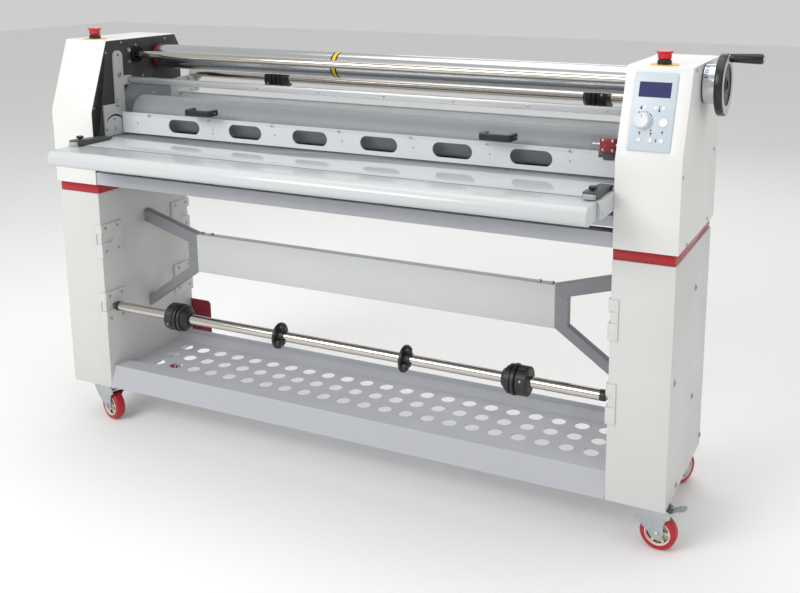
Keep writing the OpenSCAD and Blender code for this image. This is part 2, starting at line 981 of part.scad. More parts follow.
// Slotted plate just above the table, with a notch for the interlock
module guide_plate() {
    mid = (guide_left + guide_right) / 2;
    placed("lightgray")
        difference() {
            translate([guide_left, guide_y, z_guide0])
                cube([guide_right - guide_left, guide_t, guide_h]);
            translate([guide_right - notch_w, guide_y - 1, z_guide1 - notch_h])
                cube([notch_w + 1, guide_t + 2, notch_h + 1]);
            for (i = [0 : slot_count - 1])
                translate([mid + (i - (slot_count - 1) / 2) * slot_pitch, guide_y - 1,
                           z_guide0 + guide_h / 2])
                    rotate([-90, 0, 0]) {
                        translate([-(slot_len - slot_w) / 2, -slot_w / 2, 0])
                            cube([slot_len - slot_w, slot_w, guide_t + 2]);
                        for (s = [-1, 1])
                            translate([s * (slot_len - slot_w) / 2, 0, 0])
                                cylinder(h = guide_t + 2, r = slot_w / 2);
                    }
        }
}

// Two bow handles on the clear sheet
module guard_handle(x) {
    grip_w = 89;
    grip_h = 17.5;
    z0 = z_guide1 + 12;
    lean = (guide_y - clear_t / 2 - bend_y) / (z_bend - z_guide1 + 8);
    proud = clear_t / 2 * sqrt(1 + lean * lean) + fit;
    difference() {
        translate([x, guide_y - clear_t - 45, z0])
            cube([grip_w, 45, grip_h]);
        translate([x + 14, guide_y - clear_t - 35, z0 - 1])
            cube([grip_w - 28, 60, grip_h + 2]);
        side_slab(x - 1, grip_w + 2)
            polygon([[bend_y + lean * (z_bend - z0 + 1) - proud, z0 - 1],
                     [bend_y + lean * (z_bend - z0 - grip_h - 1) - proud, z0 + grip_h + 1],
                     [guide_y + 10, z0 + grip_h + 1], [guide_y + 10, z0 - 1]]);
    }
}

module guard_handles() {
    placed("black") {
        guard_handle(-handle_left);
        guard_handle(handle_right);
    }
}

// ---------------------------------------------------------------- controls

module estop_base() {
    difference() {
        translate([x_cab, estop_y, z_top])
            union() {
                cylinder(h = 1.5, r = 33);
                cylinder(h = 13, r = 16.5);
            }
        translate([x_cab, estop_y, z_top - 1])
            cylinder(h = 16, r = estop_bore);
    }
}

module estop_bases() {
    placed("gold") both_ends() estop_base();
}

// Mushroom button: its neck slides in the base
module estop_button() {
    translate([x_cab, estop_y, z_top - 8]) {
        cylinder(h = 28, r = estop_bore - fit);
        translate([0, 0, 27])
            cylinder(h = 6, r1 = 17.5, r2 = 19);
        translate([0, 0, 33])
            cylinder(h = 7, r1 = 19, r2 = 14);
    }
}

module estop_left() {
    placed("red") mirror([1, 0, 0]) estop_button();
}

module estop_right() {
    placed("red") estop_button();
}

// Overlay with its display window and the bores for knob and keys
module control_panel() {
    placed("lightsteelblue")
        on_slope()
            difference() {
                translate([-overlay_w / 2 - 4, overlay_s0, 0])
                    cube([overlay_w, overlay_s1 - overlay_s0, overlay_t]);
                translate([-39, 141, overlay_t - 0.8])
                    cube([70, 33, 2]);
                translate([-24, 84, -1])
                    cylinder(h = overlay_t + 2, r = 3 + fit);
                translate([23, 84, -1])
                    cylinder(h = overlay_t + 2, r = 10 + fit);
                for (x = key_x)
                    translate([x, key_s, -1])
                        cylinder(h = overlay_t + 2, r = key_r + fit);
            }
}

module speed_knob() {
    placed("gainsboro")
        on_slope()
            translate([-24, 84, 0]) {
                translate([0, 0, -12])
                    cylinder(h = 14 + overlay_t, r = 3);
                translate([0, 0, overlay_t + gap])
                    cylinder(h = 14, r1 = 18.5, r2 = 17);
            }
}

module panel_key(x, s, r) {
    placed("white")
        on_slope()
            translate([x, s, -6])
                cylinder(h = 6 + overlay_t + 2.5, r = r);
}

module stop_button() {
    panel_key(23, 84, 10);
}

module key_reverse() {
    panel_key(key_x[0], key_s, key_r);
}

module key_forward() {
    panel_key(key_x[1], key_s, key_r);
}

module key_pedal() {
    panel_key(key_x[2], key_s, key_r);
}

// ---------------------------------------------------------------- castors

// Stem, crown and two cheeks; the wheel trails towards +X before the turn
module castor_fork(braked) {
    cheek = tread_w / 2 + fork_gap;
    stem_top = castor_h + foot_plate + 14;
    translate([0, 0, crown_z])
        cylinder(h = stem_top - crown_z, r = stem_r);
    translate([0, 0, crown_z])
        cylinder(h = castor_h - crown_z - gap, r = 26);
    translate([-24, -cheek - fork_t, crown_z - 4])
        cube([trail + 30, 2 * cheek + 2 * fork_t, 5]);
    for (s = [-1, 1])
        translate([0, s * (cheek + fork_t / 2) + fork_t / 2, 0])
            rotate([90, 0, 0])
                linear_extrude(fork_t)
                    difference() {
                        union() {
                            polygon([[-24, crown_z - 2], [trail + 6, crown_z - 2],
                                     [trail + 12, axle_z], [trail - 12, axle_z]]);
                            translate([trail, axle_z])
                                circle(r = 12);
                            if (braked)
                                polygon([[trail - 4, crown_z - 2],
                                         [pedal_x + 6, pedal_z + 8],
                                         [pedal_x + 8, pedal_z - 6],
                                         [pedal_x - 6, pedal_z - 9],
                                         [trail + 4, crown_z - 36]]);
                        }
                        if (braked)
                            translate([pedal_x, pedal_z])
                                circle(r = pedal_r + fit);
                    }
    translate([trail, cheek + fork_t + 4, axle_z])
        rotate([90, 0, 0])
            cylinder(h = 2 * (cheek + fork_t + 4), r = 5);
}

module castor_wheel() {
    translate([trail, 0, axle_z])
        rotate([90, 0, 0])
            rotate_extrude($fn = 72)
                translate([5 + fit, -tread_w / 2])
                    difference() {
                        square([wheel_d / 2 - 5 - fit, tread_w]);
                        translate([6, -1])
                            square([wheel_d / 2 - 22, 8]);
                        translate([6, tread_w - 7])
                            square([wheel_d / 2 - 22, 8]);
                    }
}

// Foot pedal on a pivot between the cheeks, raised at rest
module brake_pedal() {
    width = tread_w + 2 * fork_gap - 2;
    translate([pedal_x, 0, pedal_z]) {
        rotate([90, 0, 0])
            translate([0, 0, -width / 2 - fork_t])
                cylinder(h = width + 2 * fork_t, r = pedal_r);
        rotate([0, -22, 0])
            translate([0, -width / 2, -1])
                cube([48, width, 4]);
    }
}

// Puts its children on one stem, turned about it
module on_stem(side, row, turn) {
    translate([side * stem_x, stem_y[row], 0])
        rotate([0, 0, turn])
            children();
}

// Rest angle of each castor about its stem
turn_fl = -16;
turn_fr = -4;
turn_rl = 110;
turn_rr = 62;

module castor_fork_fl() {
    placed("silver") on_stem(-1, 0, turn_fl) castor_fork(true);
}

module castor_fork_fr() {
    placed("silver") on_stem(1, 0, turn_fr) castor_fork(true);
}

module castor_fork_rl() {
    placed("silver") on_stem(-1, 1, turn_rl) castor_fork(false);
}

module castor_fork_rr() {
    placed("silver") on_stem(1, 1, turn_rr) castor_fork(false);
}

module castor_wheel_fl() {
    placed("firebrick") on_stem(-1, 0, turn_fl) castor_wheel();
}

module castor_wheel_fr() {
    placed("firebrick") on_stem(1, 0, turn_fr) castor_wheel();
}

module castor_wheel_rl() {
    placed("firebrick") on_stem(-1, 1, turn_rl) castor_wheel();
}

module castor_wheel_rr() {
    placed("firebrick") on_stem(1, 1, turn_rr) castor_wheel();
}

module brake_pedal_fl() {
    placed("silver") on_stem(-1, 0, turn_fl) brake_pedal();
}

module brake_pedal_fr() {
    placed("silver") on_stem(1, 0, turn_fr) brake_pedal();
}

legs();
accent_bands();
cover_left();
cover_right();
side_plates();
front_beams();
stretcher_panel();
k_brackets();
tray();
roll_cradles();
unwind_cradles();
side_brackets();
latch_block();
feed_table();
table_latches();
front_table();
rear_cover();
hook_plate();
drive_motor();
mains_inlet();
shaft_bearings();
lower_roller_core();
lower_roller_sleeve();
upper_roller_core();
upper_roller_sleeve();
bearing_blocks();
lift_screw_left();
lift_screw_right();
cross_shaft();
handwheel_collar();
handwheel();
handwheel_grip();
liner_roll();
takeup_shaft();
takeup_chucks();
unwind_shaft();
unwind_chucks();
guard_rail();
guard_sheet();
guide_plate();
guard_handles();
estop_bases();
estop_left();
estop_right();
control_panel();
speed_knob();
stop_button();
key_reverse();
key_forward();
key_pedal();
castor_fork_fl();
castor_fork_fr();
castor_fork_rl();
castor_fork_rr();
castor_wheel_fl();
castor_wheel_fr();
castor_wheel_rl();
castor_wheel_rr();
brake_pedal_fl();
brake_pedal_fr();
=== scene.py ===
import json
from math import atan2, cos, pi, radians, sin

import bmesh
import bpy
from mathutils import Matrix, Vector


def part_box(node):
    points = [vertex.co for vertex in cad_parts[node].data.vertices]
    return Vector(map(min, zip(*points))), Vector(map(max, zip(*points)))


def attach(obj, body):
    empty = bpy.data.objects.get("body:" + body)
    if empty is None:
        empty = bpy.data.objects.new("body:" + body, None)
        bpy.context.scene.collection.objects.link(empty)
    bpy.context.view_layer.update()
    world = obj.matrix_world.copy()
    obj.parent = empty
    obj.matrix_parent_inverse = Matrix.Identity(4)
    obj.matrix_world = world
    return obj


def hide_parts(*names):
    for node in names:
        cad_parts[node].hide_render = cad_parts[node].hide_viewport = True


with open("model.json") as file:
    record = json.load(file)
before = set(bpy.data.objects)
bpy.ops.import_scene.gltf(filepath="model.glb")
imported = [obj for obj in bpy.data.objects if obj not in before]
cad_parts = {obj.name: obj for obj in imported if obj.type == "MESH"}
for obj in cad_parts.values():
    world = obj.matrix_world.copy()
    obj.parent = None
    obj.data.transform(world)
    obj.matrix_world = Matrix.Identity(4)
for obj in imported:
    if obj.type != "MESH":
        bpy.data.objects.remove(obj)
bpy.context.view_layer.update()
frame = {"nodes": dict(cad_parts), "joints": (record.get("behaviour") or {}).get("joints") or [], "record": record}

NODES = frame["nodes"]
BODIES = frame["record"]["behaviour"]["bodies"]
BODY_OF = {node: body for body, members in BODIES.items() for node in members}
SLOT_OF = {part["node"]: part["material_slot"] for part in frame["record"]["subparts"]}

# ------------------------------------------------------------------ places
# The shop drawing measures X from the middle of the rollers, Y from the front of the
# cabinets and Z from the floor, all in millimetres.
LEG_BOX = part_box("legs")
COVER_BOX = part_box("cover_left")
MID_X = (LEG_BOX[0].x + LEG_BOX[1].x) / 2
FRONT_Y = COVER_BOX[0].y
TOP_Z = COVER_BOX[1].z * 1000
SLOPE_RISE, SLOPE_RUN = 198, 75
KNEE_Z = TOP_Z - SLOPE_RISE
SLOPE = atan2(SLOPE_RUN, SLOPE_RISE)
# Distances from the middle to the faces that screws and bosses stand on
COVER_FACE, LEG_FACE = 915, 911
PLATE_FACE, BRACKET_FACE, CRADLE_FACE = 765, 759, 760
CABINET_X = 840
CABINET_DEPTH = 394
WHEEL_Y, WHEEL_Z = 200, 1105
CHUCK_R = 40
SIDES = (-1, 1)
RIGHT, BACK, UP = Vector((1, 0, 0)), Vector((0, 1, 0)), Vector((0, 0, 1))


def at(x, y, z):
    """A point of the shop drawing in the frame, in metres."""
    return Vector((x / 1000 + MID_X, y / 1000 + FRONT_Y, z / 1000))


def on_shaft(node, x):
    """The point on a shaft's axis at a shop-drawing X."""
    lo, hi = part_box(node)
    return Vector((at(x, 0, 0).x, (lo.y + hi.y) / 2, (lo.z + hi.z) / 2))


# ------------------------------------------------------------------ finishes

def paint(code):
    """An sRGB hex colour as linear RGBA."""
    parts = [int(code[i:i + 2], 16) / 255 for i in (1, 3, 5)]
    return [c / 12.92 if c <= 0.04045 else ((c + 0.055) / 1.055) ** 2.4 for c in parts] + [1]


def add(tree, kind, settings=(), **links):
    """Adds one node: settings are attributes or socket values, links name its inputs."""
    made = tree.nodes.new(kind)
    for key, value in dict(settings).items():
        if isinstance(key, int) or key in made.inputs:
            made.inputs[key].default_value = value
        else:
            setattr(made, key, value)
    for key, source in links.items():
        socket = int(key[1:]) if key[1:].isdigit() else key.replace("_", " ")
        tree.links.new(source, made.inputs[socket])
    return made


def finish(name, base, rough, metallic=0.0, **sockets):
    """A new material and its shader, with the plain values on the shader's own sockets."""
    made = bpy.data.materials.new(name)
    made.use_nodes = True
    tree = made.node_tree
    tree.nodes.clear()
    out = tree.nodes.new("ShaderNodeOutputMaterial")
    shader = tree.nodes.new("ShaderNodeBsdfPrincipled")
    shader.inputs["Base Color"].default_value = paint(base)
    shader.inputs["Roughness"].default_value = rough
    shader.inputs["Metallic"].default_value = metallic
    for key, value in sockets.items():
        shader.inputs[key.replace("_", " ")].default_value = value
    tree.links.new(shader.outputs[0], out.inputs["Surface"])
    place = tree.nodes.new("ShaderNodeTexCoord").outputs["Object"]
    return made, tree, shader, place


def per_mm(size):
    """Texture scale at which one feature is this many millimetres across."""
    return 1000 / size


def noise(tree, place, size, detail):
    """The output of a noise whose patches are this many millimetres across."""
    made = add(tree, "ShaderNodeTexNoise", {"Scale": per_mm(size), "Detail": detail}, Vector=place)
    return made.outputs["Fac"]


def tint(tree, shader, pattern, base, shade):
    """Mixes two close colours by a pattern."""
    mixed = add(tree, "ShaderNodeMix", {"data_type": "RGBA", 6: paint(base), 7: paint(shade)},
                i0=pattern)
    tree.links.new(mixed.outputs[2], shader.inputs["Base Color"])


def dull(tree, shader, pattern, low, high, start=0.0, end=1.0):
    """Spreads the roughness from low to high as a pattern runs from start to end."""
    spread = add(tree, "ShaderNodeMapRange", {"From Min": start, "From Max": end,
                                              "To Min": low, "To Max": high}, Value=pattern)
    tree.links.new(spread.outputs[0], shader.inputs["Roughness"])


def relief(tree, shader, pattern, strength, depth):
    """Raises a pattern as bump, its depth in metres."""
    raised = add(tree, "ShaderNodeBump", {"Strength": strength, "Distance": depth},
                 Height=pattern)
    tree.links.new(raised.outputs[0], shader.inputs["Normal"])


def powder_coat(name, base, shade, rough=0.42, peel=1.6):
    # Polyester powder baked on sheet steel: a faint orange peel, and patches that are
    # a little duller where hands and cloths have been.
    made, tree, shader, place = finish(name, base, rough, IOR=1.5)
    patch = noise(tree, place, 160, 3.0)
    tint(tree, shader, patch, base, shade)
    dull(tree, shader, patch, rough - 0.05, rough + 0.07, 0.3, 0.7)
    relief(tree, shader, noise(tree, place, peel, 1.0), 0.12, 0.00006)
    return made


def glossy_laminate(name, base, shade, rough):
    # Smooth laminate over board: an even gloss with a faint, wide change of tone.
    made, tree, shader, place = finish(name, base, rough, IOR=1.5)
    tone = noise(tree, place, 240, 1.0)
    tint(tree, shader, tone, base, shade)
    dull(tree, shader, tone, rough - 0.01, rough + 0.01)
    return made


def drawn_metal(name, base, rough, along=(0, 0, 0), line=0.5, length=90, shade=None, lift=0.15):
    # Metal drawn or ground along the marked axes: fine lines spread the highlight across
    # them. Lines are coarser than real so that they show.
    made, tree, shader, place = finish(name, base, rough, metallic=1.0)
    stretch = [per_mm(length) if a else per_mm(line) for a in along]
    turn = add(tree, "ShaderNodeMapping", {"Scale": stretch}, Vector=place)
    lines = noise(tree, turn.outputs[0], 1000, 3.0)
    dull(tree, shader, lines, rough * 0.75, rough * 1.35, 0.25, 0.75)
    tint(tree, shader, lines, base, shade or base)
    relief(tree, shader, lines, lift, 0.00005)
    return made


def polished_tube(name, base, shade, rough):
    # Metal tube turned and polished bright: an even gloss with broad, faint clouds.
    made, tree, shader, place = finish(name, base, rough, metallic=1.0)
    cloud = noise(tree, place, 130, 1.0)
    tint(tree, shader, cloud, base, shade)
    dull(tree, shader, cloud, rough - 0.015, rough + 0.015)
    return made


def zinc_plate(name, base, shade, rough=0.33):
    # Bright zinc on pressed steel: cloudy patches a few millimetres across.
    made, tree, shader, place = finish(name, base, rough, metallic=1.0)
    cloud = noise(tree, place, 9, 4.0)
    tint(tree, shader, cloud, base, shade)
    dull(tree, shader, cloud, rough - 0.1, rough + 0.12, 0.3, 0.7)
    return made


def moulded(name, base, rough=0.45, grain=0.7, shade=None):
    # Injection-moulded plastic: a spark-eroded grain that breaks up the gloss.
    made, tree, shader, place = finish(name, base, rough, IOR=1.49)
    cells = add(tree, "ShaderNodeTexVoronoi", {"Scale": per_mm(grain)}, Vector=place)
    relief(tree, shader, cells.outputs["Distance"], 0.2, 0.00005)
    wear = noise(tree, place, 22, 3.0)
    tint(tree, shader, wear, base, shade or base)
    dull(tree, shader, wear, rough - 0.06, rough + 0.08)
    return made


def roller_rubber(name, base, shade, rough=0.6):
    # Rubber ground true on a lathe: matt, with rings too fine to count, drawn wider.
    made, tree, shader, place = finish(name, base, rough, IOR=1.52)
    rings = add(tree, "ShaderNodeTexWave", {"wave_type": "BANDS", "bands_direction": "X",
                                            "Scale": per_mm(4.8), "Distortion": 0.4},
                Vector=place)
    relief(tree, shader, rings.outputs["Fac"], 0.08, 0.00004)
    tint(tree, shader, noise(tree, place, 45, 4.0), base, shade)
    return made


def clear_acrylic(name):
    # Cast acrylic sheet, clear with a faint cool tint and a soft hairline haze.
    made, tree, shader, place = finish(name, "#C9D2D6", 0.03, IOR=1.49)
    veil = add(tree, "ShaderNodeMapRange", {"To Min": 0.05, "To Max": 0.085},
               Value=noise(tree, place, 60, 2.0))
    tree.links.new(veil.outputs[0], shader.inputs["Alpha"])
    return made


def cast_tyre(name, base, shade):
    # Cast polyurethane tread: tough, slightly glossy, scuffed duller where it rolls.
    made, tree, shader, place = finish(name, base, 0.35, IOR=1.5)
    scuff = noise(tree, place, 6, 5.0)
    tint(tree, shader, scuff, base, shade)
    dull(tree, shader, scuff, 0.28, 0.5)
    return made


FINISH = {
    "cabinet_white": powder_coat("White polyester powder coat", "#E0E0DE", "#DBDBD8"),
    "accent_red": powder_coat("Red enamel", "#A8121C", "#9C0F18", rough=0.25, peel=2.5),
    "hook_red": powder_coat("Dark red enamel", "#8A2430", "#7C1E2A", rough=0.35),
    "plate_black": powder_coat("Black powder coat", "#2E2E30", "#262628", rough=0.5),
    "grey_paint": powder_coat("Silver-grey powder coat", "#B4B6BC", "#ADAFB5", rough=0.38),
    "arm_grey": powder_coat("Mid grey powder coat", "#8A8C90", "#828488", rough=0.4),
    "panel_white": powder_coat("Pale powder coat", "#E4E4E2", "#DEDEDB"),
    "zinc_sheet": powder_coat("Silver-painted bracket", "#ABACAD", "#A3A4A5", rough=0.35),
    "latch_red": powder_coat("Latch red enamel", "#8B2732", "#7A1F2A", rough=0.3),
    "latch_grey": moulded("Dark grey moulding", "#4A4B4E", 0.45, shade="#424346"),
    "motor_grey": powder_coat("Painted casting", "#5A5F64", "#52575C", rough=0.5, peel=3),
    "inlet_black": moulded("Black socket moulding", "#18181A", 0.4),
    "bearing_black": drawn_metal("Blackened steel", "#2A2A2C", 0.4, line=3),
    "core_steel": drawn_metal("Ground steel", "#9B9C9E", 0.3, line=2),
    "lower_rubber": roller_rubber("Black roller rubber", "#2B2B2C", "#343435"),
    "upper_silicone": roller_rubber("Grey silicone covering", "#7E8083", "#85878A", 0.45),
    "bright_shaft": polished_tube("Chromed shaft", "#CDC7C0", "#C4BEB7", 0.13),
    "turned_aluminium": polished_tube("Turned aluminium", "#D3D4D5", "#CBCCCE", 0.2),
    "wheel_black": moulded("Black phenolic", "#1B1B1D", 0.3, shade="#202022"),
    "grip_black": moulded("Glossy black grip", "#161617", 0.22, grain=2),
    "chuck_black": moulded("Black nylon", "#1D1D1F", 0.42, shade="#252527"),
    "rail_aluminium": drawn_metal("Anodised rail", "#CDCECF", 0.36, (1, 0, 0), line=5,
                                  length=400, shade="#C4C5C6", lift=0.04),
    "clear_sheet": clear_acrylic("Cast acrylic"),
    "guide_aluminium": powder_coat("Silver guide plate", "#D0D3D5", "#C8CBCE", rough=0.33),
    "handle_black": moulded("Black handle nylon", "#1A1A1C", 0.38),
    "estop_yellow": moulded("Yellow disc", "#E8B423", 0.4, shade="#E0AC1E"),
    "estop_red": moulded("Red mushroom cap", "#C8202B", 0.25, grain=1.5, shade="#BE1B26"),
    "overlay_blue_grey": moulded("Printed polyester overlay", "#BFC9D1", 0.35, grain=0.5,
                                 shade="#BAC4CC"),
    "knob_grey": moulded("Pale grey knob", "#D2D5D7", 0.35),
    "stop_red": moulded("Pale round key", "#E4E5E6", 0.3),
    "key_white": moulded("Pale key", "#DCE0E3", 0.3),
    "zinc_fork": zinc_plate("Bright zinc", "#C9CDD0", "#B2B8BD"),
    "castor_tread": cast_tyre("Red polyurethane", "#B31D28", "#A21621"),
}
HUB_CREAM = moulded("Cream polypropylene hub", "#DDD6C8", 0.45, shade="#D3CCBE")
COLLAR_BLACK = moulded("Black collar", "#1C1C1E", 0.35)
SCREW_STEEL = zinc_plate("Zinc screw head", "#B9BBBD", "#9DA0A3", 0.3)
LCD_BLUE = moulded("Blue display glass", "#151C55", 0.6, grain=3, shade="#181F5C")
INK_DARK = moulded("Dark printed ink", "#39424C", 0.4)
INK_RED = moulded("Red printed ink", "#B3202A", 0.35)
INK_BLUE = moulded("Blue printed ink", "#2E4E9A", 0.4)
INK_YELLOW = moulded("Yellow tape", "#E6B81E", 0.45)
INK_WHITE = moulded("White printed ink", "#F2F3F3", 0.4)
RING_RED = powder_coat("Red end ring", "#7D1A22", "#6E151D", rough=0.35)
DIAL_GREY = moulded("Grey dial face", "#B9BCBD", 0.4)
TIP_STEEL = drawn_metal("Turned steel tip", "#C4C5C7", 0.22, (0, 1, 1), line=1)
ROD_BLACK = moulded("Black shaft end", "#242427", 0.4)

for node, slot in SLOT_OF.items():
    NODES[node].data.materials.clear()
    NODES[node].data.materials.append(FINISH[slot])

TABLE_GLOSS = glossy_laminate("Glossy laminate table top", "#BEC3C5", "#BABFC1", 0.06)
NOSE_GREY = glossy_laminate("Satin table front", "#C6C9CA", "#C3C6C7", 0.2)
# The legs and the roll cradles on them take a darker grey than the cabinet covers: partly the legs' own paler
# grey, partly painted shade for the weaker light low down on the machine.
LEG_GREY_WITH_PAINTED_SHADE = powder_coat("Pale grey powder coat with painted shade", "#CFCFCD", "#C9C9C7")
CASE_PALE = powder_coat("Pale sheet steel", "#D3D5D5", "#CDCFCF")

for node, coat in (("k_brackets", FINISH["arm_grey"]), ("feed_table", TABLE_GLOSS),
                   ("front_table", NOSE_GREY), ("legs", LEG_GREY_WITH_PAINTED_SHADE), ("roll_cradles", LEG_GREY_WITH_PAINTED_SHADE),
                   ("stretcher_panel", CASE_PALE), ("rear_cover", CASE_PALE)):
    NODES[node].data.materials[0] = coat

# ------------------------------------------------------------------ shaping tools


def keep(name, bm, body, slot, coat=None, replaces=(), crease=32, mats=()):
    """Makes a bmesh a piece that rides a body, in its slot's finish or in a coat."""
    mesh = bpy.data.meshes.new(name)
    bm.to_mesh(mesh)
    bm.free()
    made = bpy.data.objects.new(name, mesh)
    bpy.context.scene.collection.objects.link(made)
    for material in (coat or FINISH[slot], *mats):
        mesh.materials.append(material)
    mesh.polygons.foreach_set("use_smooth", [True] * len(mesh.polygons))
    mesh.set_sharp_from_angle(angle=radians(crease))
    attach(made, body)
    if replaces:
        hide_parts(*replaces)


def round_edges(bm, edges, width, segments=2):
    bmesh.ops.bevel(bm, geom=list(edges), offset=width / 1000, offset_type="OFFSET",
                    affect="EDGES", segments=segments, profile=0.5, clamp_overlap=True,
                    material=-1)


def weld(bm):
    """Joins touching rings and turns every face outwards."""
    bmesh.ops.remove_doubles(bm, verts=bm.verts[:], dist=1e-6)
    bmesh.ops.recalc_face_normals(bm, faces=bm.faces[:])


def block(bm, low, high, ease=1.0, segments=2, mat=0):
    """A block between two shop-drawing corners with eased edges."""
    lo, hi = at(*low), at(*high)
    made = bmesh.ops.create_cube(bm, size=1.0)["verts"]
    bmesh.ops.scale(bm, vec=hi - lo, verts=made)
    bmesh.ops.translate(bm, vec=(lo + hi) / 2, verts=made)
    faces = list({f for v in made for f in v.link_faces})
    for f in faces:
        f.material_index = mat
    if ease:
        round_edges(bm, {e for v in made for e in v.link_edges}, ease, segments)


def frame_of(axis):
    """A matrix whose Z column points along the axis."""
    return axis.normalized().to_track_quat("Z", "Y").to_matrix()


def turned(bm, centre, axis, profile, steps=40, mat=0):
    """Spins a profile of (distance along, radius) millimetres about an axis at centre."""
    turn = frame_of(axis)
    base = Vector(centre)
    verts = [bm.verts.new(base + turn @ Vector((r / 1000, 0, a / 1000))) for a, r in profile]
    edges = [bm.edges.new(pair) for pair in zip(verts, verts[1:])]
    before = set(bm.faces)
    bmesh.ops.spin(bm, geom=verts + edges, cent=base, axis=turn @ UP, angle=2 * pi,
                   steps=steps, use_merge=True)
    fresh = [f for f in bm.faces if f not in before]
    near = {v for f in fresh for v in f.verts}
    bmesh.ops.remove_doubles(bm, verts=list(near), dist=1e-6)
    fresh = [f for f in bm.faces if f not in before]
    bmesh.ops.recalc_face_normals(bm, faces=fresh)
    for f in fresh:
        f.material_index = mat


def sheet_outline(bm, points, normal, thickness, ease=0.4, mat=0, segments=1):
    """A flat plate: its outline as frame points, given thickness along normal."""
    before = set(bm.faces)
    verts = [bm.verts.new(p) for p in points]
    face = bm.faces.new(verts)
    grown = bmesh.ops.extrude_face_region(bm, geom=[face])
    moved = [g for g in grown["geom"] if isinstance(g, bmesh.types.BMVert)]
    bmesh.ops.translate(bm, vec=Vector(normal).normalized() * thickness / 1000, verts=moved)
    fresh = [f for f in bm.faces if f not in before]
    bmesh.ops.recalc_face_normals(bm, faces=fresh)
    for f in fresh:
        f.material_index = mat
    if ease:
        rim = {e for f in fresh for e in f.edges if len(e.link_faces) == 2
               and e.calc_face_angle(0) > radians(40)}
        round_edges(bm, rim, ease, segments)


def ring_of(count, radius, centre, axis, start=0.0):
    """Points on a circle, in millimetres, about an axis."""
    turn = frame_of(axis)
    return [Vector(centre) + turn @ Vector((radius / 1000 * cos(a), radius / 1000 * sin(a), 0))
            for a in (start + 2 * pi * i / count for i in range(count))]


def pan_screw(bm, point, axis, radius=4.5, height=2.6, mat=0, socket=True, steps=14):
    """A domed screw head with a hexagon socket, standing on a surface."""
    profile = [(0, radius), (height * 0.45, radius), (height * 0.85, radius * 0.82),
               (height, radius * 0.5)]
    profile += [(height * 0.35, radius * 0.42), (height * 0.35, 0)] if socket else [(height, 0)]
    turned(bm, point, axis, profile, steps=steps, mat=mat)


def eased(node, width):
    """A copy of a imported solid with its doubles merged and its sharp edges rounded."""
    bm = bmesh.new()
    bm.from_mesh(NODES[node].data)
    bmesh.ops.remove_doubles(bm, verts=bm.verts[:], dist=2e-6)
    bmesh.ops.dissolve_limit(bm, angle_limit=radians(2), verts=bm.verts[:], edges=bm.edges[:])
    rim = [e for e in bm.edges if len(e.link_faces) == 2
           and e.calc_face_angle(0) > radians(35) and e.calc_length() > width * 0.0015]
    round_edges(bm, rim, width)
    keep(node + "_eased", bm, BODY_OF[node], SLOT_OF[node], coat=NODES[node].data.materials[0],
         replaces=(node,))


# ------------------------------------------------------------------ camera and light

camera = bpy.data.objects.new("Camera", bpy.data.cameras.new("Camera"))
bpy.context.scene.collection.objects.link(camera)
camera.location = at(1378, -2177.6, 1401.6)
camera.rotation_euler = (radians(78.28), radians(0.02), radians(25.05))
camera.data.lens = 46.11
camera.data.sensor_width = 36
camera.data.shift_x = -0.0625
camera.data.shift_y = -0.1644
camera.data.clip_end = 50
bpy.context.scene.camera = camera
bpy.context.scene.view_settings.view_transform = "Standard"

world = bpy.data.worlds.new("Studio")
bpy.context.scene.world = world
world.use_nodes = True
world.node_tree.nodes["Background"].inputs["Color"].default_value = (1, 1, 1, 1)
world.node_tree.nodes["Background"].inputs["Strength"].default_value = 0.62


def softbox(name, place, target, size, power):
    lamp = bpy.data.lights.new(name, "AREA")
    lamp.shape = "RECTANGLE"
    lamp.size, lamp.size_y = size
    lamp.energy = power
    made = bpy.data.objects.new(name, lamp)
    bpy.context.scene.collection.objects.link(made)
    made.location = place
    made.rotation_euler = (Vector(target) - Vector(place)).to_track_quat("-Z", "Y").to_euler()


softbox("Key softbox", (-1.6, -3.6, 3.0), (0, 0, 0.6), (2.6, 1.8), 112)
softbox("Overhead softbox", (0.2, 0.3, 3.6), (0, 0, 0.5), (3.6, 2.4), 44)
softbox("Fill softbox", (3.8, -1.6, 1.8), (0.6, 0, 0.6), (2.0, 2.0), 14)
softbox("Rear softbox", (-0.6, 4.0, 2.6), (0, 0, 0.7), (3.0, 1.6), 16)

floor_mesh = bpy.data.meshes.new("Studio_floor")
bm = bmesh.new()
bmesh.ops.create_grid(bm, x_segments=1, y_segments=1, size=14)
bm.to_mesh(floor_mesh)
bm.free()
floor = bpy.data.objects.new("Studio_floor", floor_mesh)
bpy.context.scene.collection.objects.link(floor)
floor_mat, floor_tree, floor_shader, floor_place = finish("Matt studio floor", "#F3F3F2", 0.85)
tint(floor_tree, floor_shader, noise(floor_tree, floor_place, 700, 2.0), "#F4F4F3", "#F1F1F0")
floor_mesh.materials.append(floor_mat)

# ------------------------------------------------------------------ sheet metal pieces

for plain, width in (("legs", 2.2), ("cover_left", 3.0), ("cover_right", 3.0),
                     ("accent_bands", 1.5), ("side_plates", 1.0), ("front_beams", 1.5),
                     ("stretcher_panel", 1.6), ("k_brackets", 1.2), ("roll_cradles", 1.2),
                     ("unwind_cradles", 1.2), ("side_brackets", 0.9), ("feed_table", 1.0),
                     ("front_table", 0.8), ("hook_plate", 0.6), ("guard_rail", 0.7),
                     ("table_latches", 1.6)):
    eased(plain, width)

# ------------------------------------------------------------------ screws and bolts


